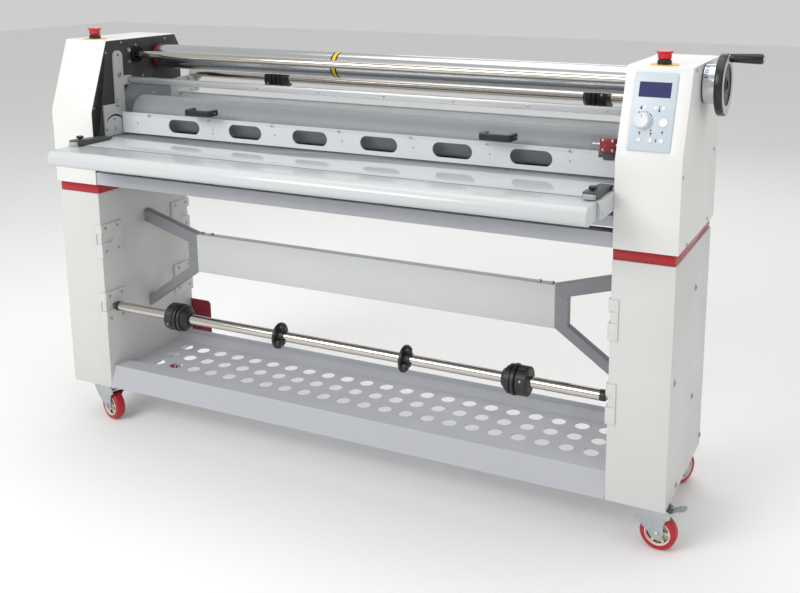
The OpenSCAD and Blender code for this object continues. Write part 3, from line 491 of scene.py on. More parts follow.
def cabinet_screws():
    """Socket screws in the handwheel side cover and in the outer faces of both legs."""
    bm = bmesh.new()
    for y, z in ((104, 1146), (354, 925), (10, 921), (81, 751), (310, 758)):
        pan_screw(bm, at(COVER_FACE, y, z), RIGHT, 4.5, 2.2)
    for side in SIDES:
        out = side * RIGHT
        for y, z in ((231, 603), (252, 312), (380, 150), (110, 140), (40, 430)):
            turned(bm, at(side * LEG_FACE, y, z), out, [(0, 9), (0.8, 9), (1.4, 8), (1.4, 0)],
                   steps=20)
            pan_screw(bm, at(side * LEG_FACE, y, z) + out * 0.0013, out, 5.2, 2.5)
    keep("Cabinet_screws", bm, "frame", "core_steel", coat=SCREW_STEEL)


def plate_hardware():
    """Screws, a nut and the ringed bearing bosses on the inner side plates."""
    bm = bmesh.new()
    for side in SIDES:
        face = -side * RIGHT
        for y, z in ((136, 1144.5), (326, 1141.5), (72, 1119), (197, 1132), (167, 1086),
                     (11, 966), (220, 1039), (262, 983), (30, 800), (250, 770), (350, 800)):
            pan_screw(bm, at(side * PLATE_FACE, y, z), face, 3.6, 2.2)
        turned(bm, at(side * PLATE_FACE, 164, 1120), face,
               [(0, 7), (1, 7), (1, 5.6), (5, 5.6), (5.4, 5), (5.4, 0)], steps=6)
    keep("Plate_screws", bm, "frame", "core_steel", coat=SCREW_STEEL)
    bm = bmesh.new()
    for side in SIDES:
        face = -side * RIGHT
        turned(bm, at(side * PLATE_FACE, WHEEL_Y, WHEEL_Z), face,
               [(0, 24), (4, 24), (5, 23), (5, 19.5), (3.6, 18.8), (3.6, 17), (5, 16.4),
                (5, 13.6), (4, 12.6), (0, 12.4), (0, 24)], steps=48)
        turned(bm, at(side * PLATE_FACE, 296, 1092), face,
               [(0, 24), (1.6, 24), (2.2, 23), (2.2, 14), (0, 13.6), (0, 24)], steps=48)
        turned(bm, at(side * PLATE_FACE, 200, 827), face,
               [(0, 30), (4, 30), (5, 29), (5, 15), (0, 14.4), (0, 30)], steps=48)
    keep("Bearing_bosses", bm, "frame", "bearing_black")


def bracket_hardware():
    """Screws, pins and stays on the silver brackets at both ends."""
    bm = bmesh.new()
    for side in SIDES:
        face = -side * RIGHT
        x = side * BRACKET_FACE
        turned(bm, at(x, 115, 1054), face, [(0, 7.5), (1, 7.5), (1.6, 6), (4.2, 5.6),
                                            (4.8, 4.6), (4.8, 2.4), (3, 2.2), (3, 0)], steps=24)
        for y, z in ((81, 928), (52, 902), (84, 902), (60, 885), (120, 890)):
            pan_screw(bm, at(x, y, z), face, 2.6, 1.4, steps=10)
        for y, z in ((350, 1008), (382, 1008), (350, 966), (382, 966), (430, 972), (462, 972)):
            pan_screw(bm, at(x, y, z), face, 3.6, 2.2)
    keep("Bracket_screws", bm, "frame", "core_steel", coat=SCREW_STEEL)


def cradle_screws():
    """Four screws on each slotted cradle, on both faces of every leg."""
    bm = bmesh.new()
    for side in SIDES:
        face = -side * RIGHT
        for lift in (0, -207):
            for y, z in ((17, 612), (66, 612), (17, 543), (66, 543)):
                pan_screw(bm, at(side * CRADLE_FACE, y, z + lift), face, 4.6, 2.0)
                pan_screw(bm, at(side * CRADLE_FACE, CABINET_DEPTH - y, z + lift), face, 4.6, 2.0)
    keep("Cradle_screws", bm, "frame", "core_steel", coat=SCREW_STEEL)


def stretcher_bolts():
    """Hexagon bolts on the top flange and into the spread arms."""
    bm = bmesh.new()
    for x in (-555, -520, 520, 555):
        turned(bm, at(x, 203, 574), UP, [(0, 7), (1.2, 7), (1.2, 0)], steps=20)
        turned(bm, at(x, 203, 575), UP, [(0, 5), (3.6, 5), (4.2, 4.4), (4.2, 0)], steps=6)
    for side in SIDES:
        for z in (612, 335):
            pan_screw(bm, at(side * 752, 189, z - 8 if z > 500 else z), -BACK, 4.2, 2.4)
        for z in (490, 540):
            pan_screw(bm, at(side * 584, 189, z), -BACK, 4.2, 2.4)
    keep("Stretcher_bolts", bm, "frame", "core_steel", coat=SCREW_STEEL)


def guard_screws():
    """Screws along the rail, along the clear sheet and beside the slots of the guide."""
    bm = bmesh.new()
    for i in range(8):
        pan_screw(bm, at(-700 + 200 * i, 148.5, 1034.5), -BACK, 3.4, 1.8)
    for i in range(7):
        pan_screw(bm, at(-654 + 212.5 * i, 111, 939), -BACK, 3.2, 1.6)
    for x, z in ((-700, 905), (-430, 905), (-430, 895), (-220, 905), (-8, 905), (203, 905),
                 (415, 905), (622, 905)):
        pan_screw(bm, at(x, 115, z + 8), -BACK, 2.4, 1.0, socket=False, steps=10)
    keep("Guard_screws", bm, "guard", "core_steel", coat=SCREW_STEEL)


# ------------------------------------------------------------------ rollers and shafts

def liner_take_up_roll():
    """Bright tube with dark red end rings and one band of warning tape."""
    start = on_shaft("liner_roll", 0)
    bm = bmesh.new()
    stops = [(-761, 14, 2), (-761, 35, 2), (-760, 36, 2), (-750, 36, 2), (-749, 35.2, 2),
             (-748, 36, 0), (-131, 36, 1), (-126, 36, 3), (-116, 36, 1), (-111, 36, 0),
             (748, 36, 2), (749, 35.2, 2), (750, 36, 2), (760, 36, 2), (761, 35, 2), (761, 14, 2)]
    for here, there in zip(stops, stops[1:]):
        turned(bm, start, RIGHT, [here[:2], there[:2]], steps=56, mat=here[2])
    for end in SIDES:
        turned(bm, start, RIGHT, [(end * a, r) for a, r in
                                  ((761, 14), (764, 13), (764, 12), (789, 12), (789, 0))],
               steps=24, mat=4)
    weld(bm)
    keep("Liner_roll_tube", bm, "liner_roll", "turned_aluminium",
         replaces=("liner_roll",), mats=(COLLAR_BLACK, RING_RED, INK_YELLOW, FINISH["core_steel"]))


def covered_roller(name, node, body, slot):
    """A rubber covering with rounded ends and the shoulders of its core."""
    lo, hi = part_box(node)
    r = (hi.z - lo.z) * 500
    half = (hi.x - lo.x) * 500
    start = (lo + hi) / 2
    bm = bmesh.new()
    turned(bm, start, RIGHT, [(-half + 1, 20), (-half + 0.4, r - 4), (-half + 1.4, r - 1.2),
                              (-half + 3, r), (half - 3, r), (half - 1.4, r - 1.2),
                              (half - 0.4, r - 4), (half - 1, 20)], steps=64)
    for end in SIDES:
        turned(bm, start, RIGHT, [(end * (half - 1), 20.4), (end * (half + 1), 19.6),
                                  (end * (half + 1), 12.6), (end * (half + 1.6), 12.4),
                                  (end * (half + 1.6), 12.1)], steps=40, mat=1)
    bmesh.ops.recalc_face_normals(bm, faces=bm.faces[:])
    keep(name, bm, body, slot, replaces=(node,), mats=(FINISH["core_steel"],))


def raised_pad(bm, point, centre, axis, size, sink, height, ease=0):
    """A small pad on a drum: its ends fore and aft, its half width, and its height."""
    out = (point - centre).normalized()
    wide = axis.cross(out) * size[2]
    corners = [point + axis * size[0] + wide, point + axis * size[0] - wide,
               point - axis * size[1] - wide, point - axis * size[1] + wide]
    sheet_outline(bm, [corner - out * sink for corner in corners], out, height, ease=ease)
    return out


def core_chuck(bm, start, sign, r):
    """A stepped nylon chuck: split clamp drum, ribbed flange, and steps for the core."""
    axis = sign * RIGHT
    turned(bm, start, axis, [(0, 14.1), (0, r - 9), (1, r - 4), (2.4, r - 2.7), (26, r - 2.7),
                             (27.4, r - 4), (27.8, r - 7), (31.2, r - 7), (31.6, r - 1),
                             (32.4, r - 0.2), (39.6, r - 0.2), (40.6, r - 1.4), (41, r - 6.2),
                             (44, r - 6.2), (44.4, r - 2.6), (52, r - 2.6), (53, r - 4.2),
                             (53.6, r - 8.2), (59, r - 8.2), (61, r - 10.5), (66, r - 16),
                             (69, r - 17.5), (70, r - 20), (70, 14.1)], steps=56)
    flange = start + axis * 0.036
    for p in ring_of(28, r - 0.4, flange, axis):
        raised_pad(bm, p, flange, axis, (0.0032, 0.0032, 0.0012), 0.001, 1.35)
    drum = start + axis * 0.014
    for k, p in enumerate(ring_of(6, r - 2.7, drum, axis, start=0.3)):
        if k % 3 == 2:
            continue
        out = raised_pad(bm, p, drum, axis, (0.0105, 0.0115, 0.0075), 0.002, 3.2, ease=0.5)
        if k % 3 == 0:
            pan_screw(bm, p + out * 0.0009, out, 3.0, 1.0, mat=1, steps=12)


def disc_guide(bm, start, r):
    """A disc on a hub with three idler rollers, which a core runs on."""
    turned(bm, start, RIGHT, [(0, 14.1), (0, 24), (1.2, 25), (1.2, r - 1), (2.2, r), (7.4, r),
                              (8.6, r - 1.2), (9, 20), (14, 18.6), (22, 18), (23, 17),
                              (23, 14.1)], steps=48)
    for p in ring_of(3, 23.6, start + RIGHT * 0.0088, RIGHT, start=pi / 2):
        turned(bm, p, RIGHT, [(0, 10.2), (11.6, 10.2), (13.2, 8.8), (14, 7), (14, 0)], steps=24)
    for p in ring_of(3, 29, start + RIGHT * 0.0088, RIGHT, start=pi / 6):
        turned(bm, p, RIGHT, [(0, 3), (0.9, 3), (0.9, 0)], steps=10, mat=1)


def roll_chucks():
    """Core chucks on both shafts, and the disc guides on the take-up shaft."""
    bm = bmesh.new()
    core_chuck(bm, on_shaft("takeup_shaft", -549), 1, CHUCK_R)
    core_chuck(bm, on_shaft("takeup_shaft", 559), -1, CHUCK_R)
    for x in (-179, 209):
        disc_guide(bm, on_shaft("takeup_shaft", x), CHUCK_R - 4)
    keep("Take_up_core_chucks", bm, "takeup", "chuck_black", replaces=("takeup_chucks",),
         mats=(SCREW_STEEL,))
    bm = bmesh.new()
    core_chuck(bm, on_shaft("unwind_shaft", -458), 1, CHUCK_R)
    core_chuck(bm, on_shaft("unwind_shaft", 622), -1, CHUCK_R)
    keep("Unwind_core_chucks", bm, "unwind", "chuck_black", replaces=("unwind_chucks",),
         mats=(SCREW_STEEL,))


def take_up_bar():
    """Chromed bar with black end caps and steel spigots."""
    lo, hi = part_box("takeup_shaft")
    centre = (lo + hi) / 2
    bm = bmesh.new()
    turned(bm, centre, RIGHT, [(-738, 14), (738, 14)], steps=48)
    for end in SIDES:
        turned(bm, centre, RIGHT, [(end * 738, 14), (end * 750.5, 14), (end * 752, 12.6),
                                   (end * 752, 9)], steps=48, mat=1)
        turned(bm, centre, RIGHT, [(end * 752, 9), (end * 763, 9), (end * 764, 8), (end * 764, 0)],
               steps=32, mat=2)
    weld(bm)
    keep("Take_up_bar", bm, "takeup", "bright_shaft",
         replaces=("takeup_shaft",), mats=(ROD_BLACK, FINISH["core_steel"]))


# ------------------------------------------------------------------ handwheel

def pressure_handwheel():
    """Phenolic wheel with a pale dial face, a dished centre and red pressure marks."""
    lo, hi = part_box("handwheel")
    hub = Vector((lo.x, (lo.y + hi.y) / 2, WHEEL_Z / 1000))
    bm = bmesh.new()
    turned(bm, hub, RIGHT, [(0, 11), (0, 66), (1, 69.5), (3, 71.4), (5, 72), (15.5, 72), (18, 71.4),
                            (19.4, 70), (20, 68)], steps=72)
    turned(bm, hub, RIGHT, [(20, 68), (20, 50), (19.4, 48.6)], steps=72, mat=1)
    turned(bm, hub, RIGHT, [(19.4, 48.6), (17.2, 47.4), (16.6, 46), (16.2, 20), (16.6, 18.6),
                            (18.6, 17), (18.6, 12.5), (17.6, 11)], steps=72)
    for ring, count, first, step in ((40, 22, 96, 8), (31, 17, 102, 10)):
        for i in range(count):
            a = radians(first + step * i)
            reach = 3.2 if (i + ring) % 3 else 1.8
            spot = hub + Vector((0.0158, cos(a) * ring / 1000, sin(a) * ring / 1000))
            long = Vector((0, cos(a), sin(a)))
            wide = Vector((0, -sin(a), cos(a)))
            sheet_outline(bm, [spot + long * s * reach / 1000 + wide * t * 0.0015
                               for s, t in ((-1, -1), (1, -1), (1, 1), (-1, 1))], RIGHT, 0.8,
                          ease=0, mat=2)
    pin = at(0, WHEEL_Y, WHEEL_Z + 62)
    pin.x = hub.x
    turned(bm, pin, RIGHT, [(20, 7), (21.4, 7), (21.4, 4), (94, 4), (94.6, 7), (96.4, 8),
                            (98.4, 6.5), (99, 3), (99, 0)], steps=28, mat=3)
    weld(bm)
    keep("Pressure_handwheel", bm, "pressure_shaft", "wheel_black",
         replaces=("handwheel",), mats=(DIAL_GREY, INK_RED, TIP_STEEL), crease=28)
    lo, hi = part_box("handwheel_grip")
    root = Vector((lo.x, pin.y, pin.z))
    length = (hi.x - lo.x) * 1000
    bm = bmesh.new()
    turned(bm, root, RIGHT, [(0, 4.05), (0, 8), (0.8, 9.4), (3, 10.2), (10, 10.2), (24, 10.8),
                             (46, 11.6), (length - 4, 12), (length - 1.5, 11.4),
                             (length - 0.4, 10), (length, 8), (length, 4.05)], steps=40)
    keep("Crank_grip", bm, "grip", "grip_black", replaces=("handwheel_grip",))


def pressure_collar():
    """Turned collar with a dark gap ring and a band of blue scale marks."""
    lo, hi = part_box("handwheel_collar")
    hub = Vector((lo.x, (lo.y + hi.y) / 2, (lo.z + hi.z) / 2))
    bm = bmesh.new()
    turned(bm, hub, RIGHT, [(0, 12), (0, 45), (2.4, 45), (2.4, 12)], steps=64, mat=1)
    turned(bm, hub, RIGHT, [(2.4, 12), (2.4, 45), (3.4, 46), (29, 46), (30, 45), (30, 12)],
           steps=64)
    for i in range(6):
        a0 = radians(112 + 7.6 * i)
        ring = [hub + Vector((x / 1000, cos(a) * 0.0459, sin(a) * 0.0459))
                for x, a in ((5, a0), (14, a0), (14, a0 + radians(3)), (14, a0 + radians(6.2)),
                             (5, a0 + radians(6.2)), (5, a0 + radians(3)))]
        mid = a0 + radians(3.1)
        sheet_outline(bm, ring, (0, cos(mid), sin(mid)), 0.09, ease=0, mat=2)
    keep("Pressure_scale_collar", bm, "frame", "turned_aluminium",
         replaces=("handwheel_collar",), mats=(COLLAR_BLACK, INK_BLUE))


# ------------------------------------------------------------------ emergency stops

def emergency_stops():
    """Yellow discs with black ribbed collars, and red caps with three turning marks."""
    bm = bmesh.new()
    for x in (-CABINET_X, CABINET_X):
        spot = at(x, 113, TOP_Z)
        turned(bm, spot, UP, [(0, 11.2), (0, 33), (1, 33), (1.5, 32.4), (1.5, 17)], steps=48)
        turned(bm, spot, UP, [(1.5, 17), (1.6, 16.5), (3, 16.5), (3.4, 15.9), (5, 15.9),
                              (5.4, 16.5), (9, 16.5), (11, 14.6), (13, 13.6), (13, 11.2)],
               steps=36, mat=1)
        for p in ring_of(24, 16.1, spot + UP * 0.0072, UP):
            out = (p - spot - UP * 0.0072).normalized()
            side = UP.cross(out)
            sheet_outline(bm, [p - out * 0.001 + side * a + UP * b for a, b in
                               ((-0.0008, -0.0016), (0.0008, -0.0016), (0.0008, 0.0016),
                                (-0.0008, 0.0016))], out, 1.35, ease=0, mat=1)
    keep("Stop_collars", bm, "frame", "estop_yellow",
         replaces=("estop_bases",), mats=(COLLAR_BLACK,))
    for side, x in (("left", -CABINET_X), ("right", CABINET_X)):
        spot = at(x, 113, TOP_Z - 8)
        bm = bmesh.new()
        turned(bm, spot, UP, [(0, 0), (0, 10.9), (20, 10.9), (22, 12)], steps=36, mat=1)
        turned(bm, spot, UP, [(22, 12), (22, 14.6), (23, 15.4), (32, 15.8), (34.2, 16.6),
                              (35.6, 18.6), (36.6, 19), (38.4, 19), (39.2, 18.4), (39.7, 17),
                              (39.2, 14), (38.8, 8), (38.8, 0)], steps=48)
        for a in (0, 2 * pi / 3, 4 * pi / 3):
            ring = ring_of(60, 12.4, spot + UP * 0.0386, UP, start=a)[:13]
            inner = ring_of(60, 10.6, spot + UP * 0.0386, UP, start=a)[:13]
            sheet_outline(bm, ring + inner[::-1], UP, 0.9, ease=0, mat=2)
        bmesh.ops.remove_doubles(bm, verts=bm.verts[:], dist=1e-6)
        keep("Stop_mushroom_" + side, bm, "estop_" + side, "estop_red",
             replaces=("estop_" + side,), mats=(COLLAR_BLACK, INK_WHITE))


# ------------------------------------------------------------------ control panel

def on_slope(x, s, h=0.0):
    """A point on the sloped front of the right cover: across, up the slope, and out."""
    return at(CABINET_X + x, s * sin(SLOPE) - h * cos(SLOPE),
              KNEE_Z + s * cos(SLOPE) + h * sin(SLOPE))


FACE = Vector((0, -cos(SLOPE), sin(SLOPE)))


def printed(bm, outline, mat, h=3.0, thickness=0.15):
    """A print or window on the overlay, as a thin layer h millimetres above the cover."""
    sheet_outline(bm, [on_slope(x, s, h) for x, s in outline], FACE, thickness, ease=0, mat=mat)


def arc_band(cx, cs, r0, r1, a0, a1, steps=14):
    """The outline of a band between two radii and two angles in degrees."""
    angles = [radians(a0 + (a1 - a0) * i / steps) for i in range(steps + 1)]
    return ([(cx + r1 * cos(a), cs + r1 * sin(a)) for a in angles]
            + [(cx + r0 * cos(a), cs + r0 * sin(a)) for a in reversed(angles)])


def control_face():
    """Film overlay with a display window, symbols, small lamps and a speed scale."""
    bm = bmesh.new()
    corners = []
    for cx, cs, a in ((40.5, 193, 0), (-48.5, 193, 90), (-48.5, 22, 180), (40.5, 22, 270)):
        corners += [(cx + 4 * cos(radians(a + t)), cs + 4 * sin(radians(a + t)))
                    for t in (0, 30, 60, 90)]
    sheet_outline(bm, [on_slope(x, s) for x, s in corners], FACE, 3.0, ease=0.6, segments=2)
    printed(bm, [(-40, 140), (32, 140), (32, 175), (-40, 175)], 5, 3.0, 0.3)
    printed(bm, [(-38.6, 141.5), (30.6, 141.5), (30.6, 173.5), (-38.6, 173.5)], 1, 3.25, 0.35)
    # flame
    printed(bm, [(-31.5, 112), (-28.5, 112), (-27, 115), (-28.2, 118), (-30, 121.5),
                 (-30.8, 118), (-33, 115)], 2)
    # thermometer
    printed(bm, arc_band(11, 110, 0.01, 2.6, 0, 360, 12)[:12], 2)
    printed(bm, [(10.2, 111), (11.8, 111), (11.8, 121), (10.2, 121)], 2)
    # small raised lamps beside the symbols
    for x in (-20.5, 3.0, 20.0):
        turned(bm, on_slope(x, 116.5, 3.0), FACE, [(0, 4.2), (0.6, 4.2), (1.2, 3.6), (1.5, 2),
                                                   (1.6, 0)], steps=24, mat=4)
    # speed scale round the knob
    for a0, a1, w in ((100, 84, 0.5), (78, 62, 0.9), (56, 28, 1.4), (22, 8, 0.8), (2, -12, 0.6)):
        printed(bm, arc_band(-24, 84, 23.4 - w / 2, 23.4 + w, a0, a1), 2)
    printed(bm, [(-36, 104.5), (-31, 102.4), (-31.4, 107.4)], 2)
    printed(bm, [(-3.2, 69), (0.4, 64.4), (-5.6, 64)], 2)
    # direction arrows and the pedal symbol
    for x, flip in ((-27, 1), (-2, 1), (23, -1)):
        base = 58 if flip > 0 else 63
        printed(bm, [(x - 1, base - 4 * flip), (x + 1, base - 4 * flip), (x + 1, base),
                     (x + 3.2, base), (x, base + 4.4 * flip), (x - 3.2, base), (x - 1, base)], 2)
    printed(bm, [(9.5, 39.5), (12.5, 39.5), (12, 45), (13, 47), (9, 47), (10, 45)], 2)
    keep("Control_overlay", bm, "frame", "overlay_blue_grey",
         replaces=("control_panel",), mats=(LCD_BLUE, INK_DARK, INK_WHITE, FINISH["key_white"],
                                          COLLAR_BLACK))
    bm = bmesh.new()
    turned(bm, on_slope(-24, 84), FACE, [(-12, 0), (-12, 3), (3.4, 3), (3.4, 18.5), (5.4, 18.5),
                                         (6.2, 17.8), (15, 16.9), (16.6, 16), (17.4, 14.6),
                                         (17.2, 12), (16.6, 0)], steps=56)
    sheet_outline(bm, [on_slope(x, s, 16.5) for x, s in ((-24.7, 92), (-23.3, 92), (-23.3, 98.5),
                                                          (-24.7, 98.5))], FACE, 0.8, ease=0,
                  mat=1)
    keep("Speed_knob_cap", bm, "speed_knob", "knob_grey",
         replaces=("speed_knob",), mats=(INK_DARK,))
    for node, name, x, s, r, slot in (("stop_button", "Stop_key_cap", 23, 84, 10, "stop_red"),
                                      ("key_reverse", "Reverse_key_cap", -27, 43, 5.5, "key_white"),
                                      ("key_forward", "Forward_key_cap", -2, 43, 5.5, "key_white"),
                                      ("key_pedal", "Pedal_key_cap", 23, 43, 5.5, "key_white")):
        bm = bmesh.new()
        turned(bm, on_slope(x, s), FACE, [(-6, 0), (-6, r), (4.4, r), (5.1, r - 0.6),
                                          (5.5, r - 1.6), (5.0, r - 2.6), (4.9, 0)], steps=32)
        keep(name, bm, node, slot, replaces=(node,))


# ------------------------------------------------------------------ guard and latch

def bow_handles():
    """Black bow handles with splayed feet on the clear guard."""
    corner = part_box("guard_handles")[0]
    front = (corner.y - FRONT_Y) * 1000
    low = corner.z * 1000
    reach = 106.2
    for name, x in (("left", -491), ("right", 402)):
        bm = bmesh.new()
        outline = [(x, reach), (x, reach - 5), (x + 1.5, front + 6), (x + 5, front + 1),
                   (x + 9, front), (x + 80, front), (x + 84, front + 1), (x + 87.5, front + 6),
                   (x + 89, reach - 5), (x + 89, reach), (x + 75, reach), (x + 74.6, front + 13),
                   (x + 71, front + 10.4), (x + 18, front + 10.4), (x + 14.4, front + 13),
                   (x + 14, reach)]
        sheet_outline(bm, [at(px, py, low + 0.4) for px, py in outline], UP, 16.6, ease=1.6,
                      segments=3)
        for px, side in ((x + 0.4, -1), (x + 88.6, 1)):
            pan_screw(bm, at(px - 0.6 * side, reach - 14, low + 9), side * RIGHT, 3.0, 0.9,
                      mat=1, steps=12)
        keep("Guard_handle_" + name, bm, "guard", "handle_black",
             mats=(SCREW_STEEL,), replaces=("guard_handles",) if name == "left" else ())


def latch():
    """Red latch block with pale screws, a red tell-tale and a steel plunger."""
    lo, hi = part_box("latch_block")
    x0 = (lo.x - MID_X) * 1000 + 20
    y0 = (lo.y - FRONT_Y) * 1000
    z0, z1 = lo.z * 1000, hi.z * 1000
    base = z1 - 35
    wide = 38
    plunger_z = 962
    bm = bmesh.new()
    block(bm, (x0, y0 + 1.4, base), (x0 + wide, y0 + 14, z1), ease=1.2, segments=2)
    block(bm, (x0 + 3, y0 + 0.6, base + 2), (x0 + wide - 3, y0 + 3, z1 - 2), ease=0.7)
    block(bm, (x0 + 6.4, y0 + 9.2, z0 + 0.2), (x0 + wide - 6.4, y0 + 13.8, base + 2), ease=0.5,
          mat=3)
    for dx, dz in ((8, 6.5), (31, 6.5), (8, 29), (31, 29)):
        pan_screw(bm, at(x0 + dx, y0 + 0.8, base + dz), -BACK, 3.3, 0.75, mat=1, steps=12)
    turned(bm, at(x0 + 13, y0 + 0.7, base + 15.5), -BACK, [(0, 4.4), (0.3, 4.4), (0.6, 3.6),
                                                           (0.6, 0)], steps=20, mat=2)
    spot = at(x0, y0 + 7, plunger_z)
    turned(bm, spot, RIGHT, [(0, 4), (-5, 4), (-6, 3), (-12, 3), (-13, 3.9), (-18, 3.9), (-20, 2.6),
                             (-20, 0)], steps=20, mat=1)
    tail = at(x0 + wide, y0 + 7, plunger_z)
    turned(bm, tail, RIGHT, [(-1, 4), (17, 4), (18, 3), (18, 0)], steps=20, mat=1)
    keep("Guard_latch", bm, "guard", "latch_red", replaces=("latch_block",),
         mats=(SCREW_STEEL, INK_RED, FINISH["latch_grey"]))


# ------------------------------------------------------------------ castors

def castor_place(tag):
    """One castor at rest: its axle, its directions, and a maker of points by its stem."""
    swivel, roll = (next(j for j in frame["joints"] if j["name"] == kind + tag)
                    for kind in ("castor_swivel_", "castor_roll_"))
    stem = Vector(swivel["pos_m"])
    across = Vector(roll["axis"]).normalized()
    along = across.cross(UP)

    def spot(a, c, z):
        return Vector((stem.x, stem.y, 0)) + along * a / 1000 + across * c / 1000 + UP * z / 1000

    return Vector(roll["pos_m"]), along, across, spot


def castor_wheel_piece(tag):
    """Red tyre on a cream hub with six spokes between kidney-shaped windows."""
    axle, along, across, _ = castor_place(tag)
    r = axle.z * 1000
    spokes, half = 6, radians(11)
    bm = bmesh.new()
    turned(bm, axle, across, [(-14, r - 13), (-14.6, r - 8), (-13.4, r - 3.4), (-10.5, r - 0.8),
                              (-6, r), (6, r), (10.5, r - 0.8), (13.4, r - 3.4), (14.6, r - 8),
                              (14, r - 13)], steps=56, mat=0)
    for end in SIDES:
        turned(bm, axle, across, [(end * 14, r - 13), (end * 14.6, r - 14.5),
                                  (end * 13.4, r - 16), (end * 8.6, r - 17)], steps=56, mat=1)
        turned(bm, axle, across, [(end * 8.6, 14.5), (end * 13.4, 13.5), (end * 14.9, 12),
                                  (end * 14.9, 5.1)], steps=40, mat=1)
        for i in range(spokes):
            mid = 2 * pi * i / spokes
            spoke = [axle + across * end * 0.0086 + (along * cos(a) + UP * sin(a)) * reach / 1000
                     for a, reach in ((mid - half * 0.7, r - 17), (mid, r - 16.8),
                                      (mid + half * 0.7, r - 17), (mid + half * 1.5, 14.2),
                                      (mid, 14.0), (mid - half * 1.5, 14.2))]
            sheet_outline(bm, spoke, -across * end, 3.2, ease=0.5, mat=1)
    turned(bm, axle, across, [(-3, r - 17), (-3, 14)], steps=40, mat=1)
    turned(bm, axle, across, [(-14.9, 5.1), (14.9, 5.1)], steps=24, mat=1)
    bmesh.ops.recalc_face_normals(bm, faces=bm.faces[:])
    keep("Castor_wheel_" + tag, bm, "wheel_" + tag, "castor_tread",
         replaces=("castor_wheel_" + tag,), mats=(HUB_CREAM,))


def castor_fork_piece(tag):
    """Pressed zinc fork: rounded crown, race cover, flared cheeks, axle bolt and nut."""
    axle, _, across, spot = castor_place(tag)
    braked = tag[0] == "f"
    bm = bmesh.new()
    side = [(-25, 113), (-26, 104), (-22, 92), (-8, 74), (26, 46), (30, 38), (36, 33.5),
            (45, 31.5), (54, 33.5), (59.5, 39), (61, 46), (60.5, 62), (62, 74), (66, 84)]
    side += [(76, 90), (77, 104), (64, 113)] if braked else [(62, 96), (56, 113)]
    for end in SIDES:
        sheet_outline(bm, [spot(a, end * 18.0, z) for a, z in side], across * end, 3.0, ease=0.9,
                      segments=2)
        turned(bm, spot(45, end * 21, 45), across * end,
               [(0, 9), (1.2, 9), (1.2, 5), (1.2, 0)], steps=24)
        turned(bm, spot(45, end * 22.2, 45), across * end,
               [(0, 6.6), (2.2, 6.6), (2.8, 5.8), (2.8, 3.4), (2.8, 0)], steps=6)
    top = [(-25, -20.6), (-25, 20.6), (54, 20.6), (54, -20.6)]
    sheet_outline(bm, [spot(a, c, 109.4) for a, c in top], UP, 3.6, ease=1.4, segments=2)
    turned(bm, spot(0, 0, 0), UP, [(109, 17), (109, 25), (111, 26), (113.4, 26), (114.6, 24.6),
                                   (115.2, 22), (116, 22), (116.6, 24), (118.6, 24), (119.6, 22.6),
                                   (119.6, 8), (119.6, 0)], steps=48)
    turned(bm, axle, across, [(-18, 5), (18, 5)], steps=24)
    if braked:
        for end in SIDES:
            turned(bm, spot(67, end * 21.6, 98), -end * across, [(0, 0), (0, 5.4), (1, 5.4)],
                   steps=20)
    bmesh.ops.recalc_face_normals(bm, faces=bm.faces[:])
    keep("Castor_fork_" + tag, bm, "castor_" + tag, "zinc_fork",
         replaces=("castor_fork_" + tag,))


def brake_pedal_piece(tag):
    """Ribbed pressed pedal that curves up from its pivot."""
    _, _, across, spot = castor_place(tag)
    bm = bmesh.new()
    run = [(67, 99.4), (74, 101.6), (82, 105.4), (90, 109.6), (98, 112.6), (105, 114.4),
           (110, 115.2)]
    widths = [10, 12, 15.4, 17, 17, 15, 10]
    rows = []
    for (a, z), w in zip(run, widths):
        rows.append([bm.verts.new(spot(a, c * w, z + (0.9 if abs(c) > 0.9 else 0)))
                     for c in (-1, -0.5, 0, 0.5, 1)])
    for r0, r1 in zip(rows, rows[1:]):
        for i in range(4):
            bm.faces.new((r0[i], r0[i + 1], r1[i + 1], r1[i]))
    bmesh.ops.recalc_face_normals(bm, faces=bm.faces[:])
    bmesh.ops.solidify(bm, geom=bm.faces[:], thickness=0.0022)
    for a, z in ((80, 106), (86.5, 109.3), (93, 112.4), (99.5, 114.6)):
        sheet_outline(bm, [spot(a + da, c, z - 1.0) for da, c in
                           ((-1.4, -12.5), (1.4, -12.5), (1.4, 12.5), (-1.4, 12.5))], UP, 2.3,
                      ease=0.5)
    turned(bm, spot(67, -17, 98), across, [(0, 0), (0, 4), (34, 4), (34, 0)], steps=24)
    bmesh.ops.recalc_face_normals(bm, faces=bm.faces[:])
    keep("Brake_pedal_" + tag, bm, "pedal_" + tag, "zinc_fork",
         replaces=("brake_pedal_" + tag,))


# ------------------------------------------------------------------ table and rear

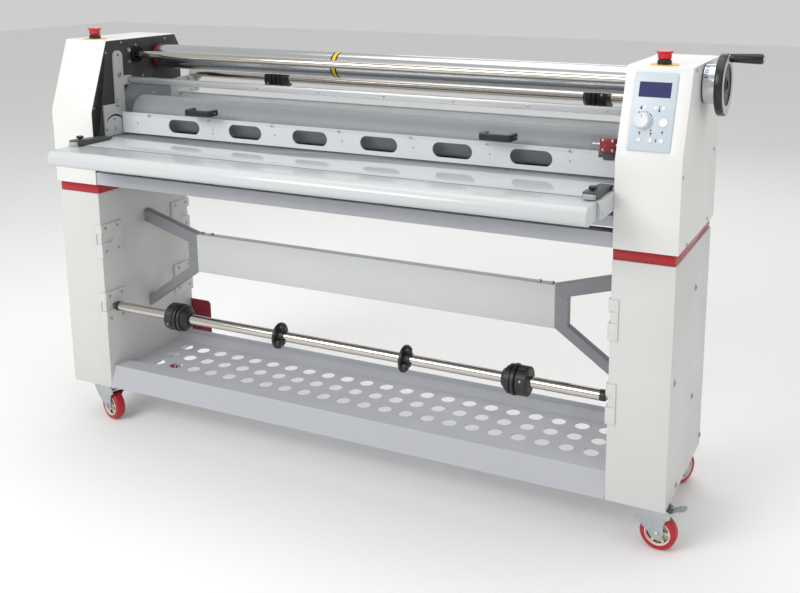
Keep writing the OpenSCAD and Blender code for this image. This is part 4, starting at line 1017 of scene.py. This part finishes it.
def table_trim():
    """Rounded ends and thumb knobs of the two side guides on the feed table."""
    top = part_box("table_latches")[0].z * 1000
    bm = bmesh.new()
    for side in SIDES:
        x = side * 739
        turned(bm, at(x, -75, top + 14), UP, [(0, 4), (6, 4), (6, 9), (7, 9.6), (11.4, 9.6),
                                              (12.4, 8.6), (12.4, 0)], steps=28, mat=1)
        sheet_outline(bm, [at(x + dx, y, top + 2) for dx, y in
                           ((-15, -99), (-14, -104), (-9, -108), (9, -108), (14, -104),
                            (15, -99))], UP, 11, ease=1.5, segments=2)
    keep("Table_guide_ends", bm, "frame", "zinc_sheet",
         mats=(FINISH["wheel_black"],))


def table_seam():
    """Thin dark gasket along the joint between the fixed and the folding table."""
    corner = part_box("front_table")[1]
    y = (corner.y - FRONT_Y) * 1000
    z = corner.z * 1000
    bm = bmesh.new()
    block(bm, (-763, y + 1.0, z - 0.4), (763, y + 2.2, z + 0.15), ease=0.05)
    keep("Table_seam_gasket", bm, "frame", "plate_black")


def rear_louvres():
    """A row of cooling slots in the back of each leg, above the inlet."""
    z0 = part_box("mains_inlet")[0].z * 1000
    bm = bmesh.new()
    for side in SIDES:
        for i in range(9):
            z = z0 + 330 + 13 * i
            block(bm, (side * CABINET_X - 36, 389.2, z),
                  (side * CABINET_X + 36, 390.7, z + 5), ease=0.5)
    keep("Rear_louvres", bm, "frame", "plate_black")


cabinet_screws()
plate_hardware()
bracket_hardware()
cradle_screws()
stretcher_bolts()
guard_screws()
liner_take_up_roll()
covered_roller("Upper_roller_covering", "upper_roller_sleeve", "upper_roller", "upper_silicone")
covered_roller("Lower_roller_covering", "lower_roller_sleeve", "lower_roller", "lower_rubber")
roll_chucks()
take_up_bar()
pressure_handwheel()
pressure_collar()
emergency_stops()
control_face()
bow_handles()
latch()
for tag in ("fl", "fr", "rl", "rr"):
    castor_wheel_piece(tag)
    castor_fork_piece(tag)
for tag in ("fl", "fr"):
    brake_pedal_piece(tag)
table_trim()
table_seam()
rear_louvres()

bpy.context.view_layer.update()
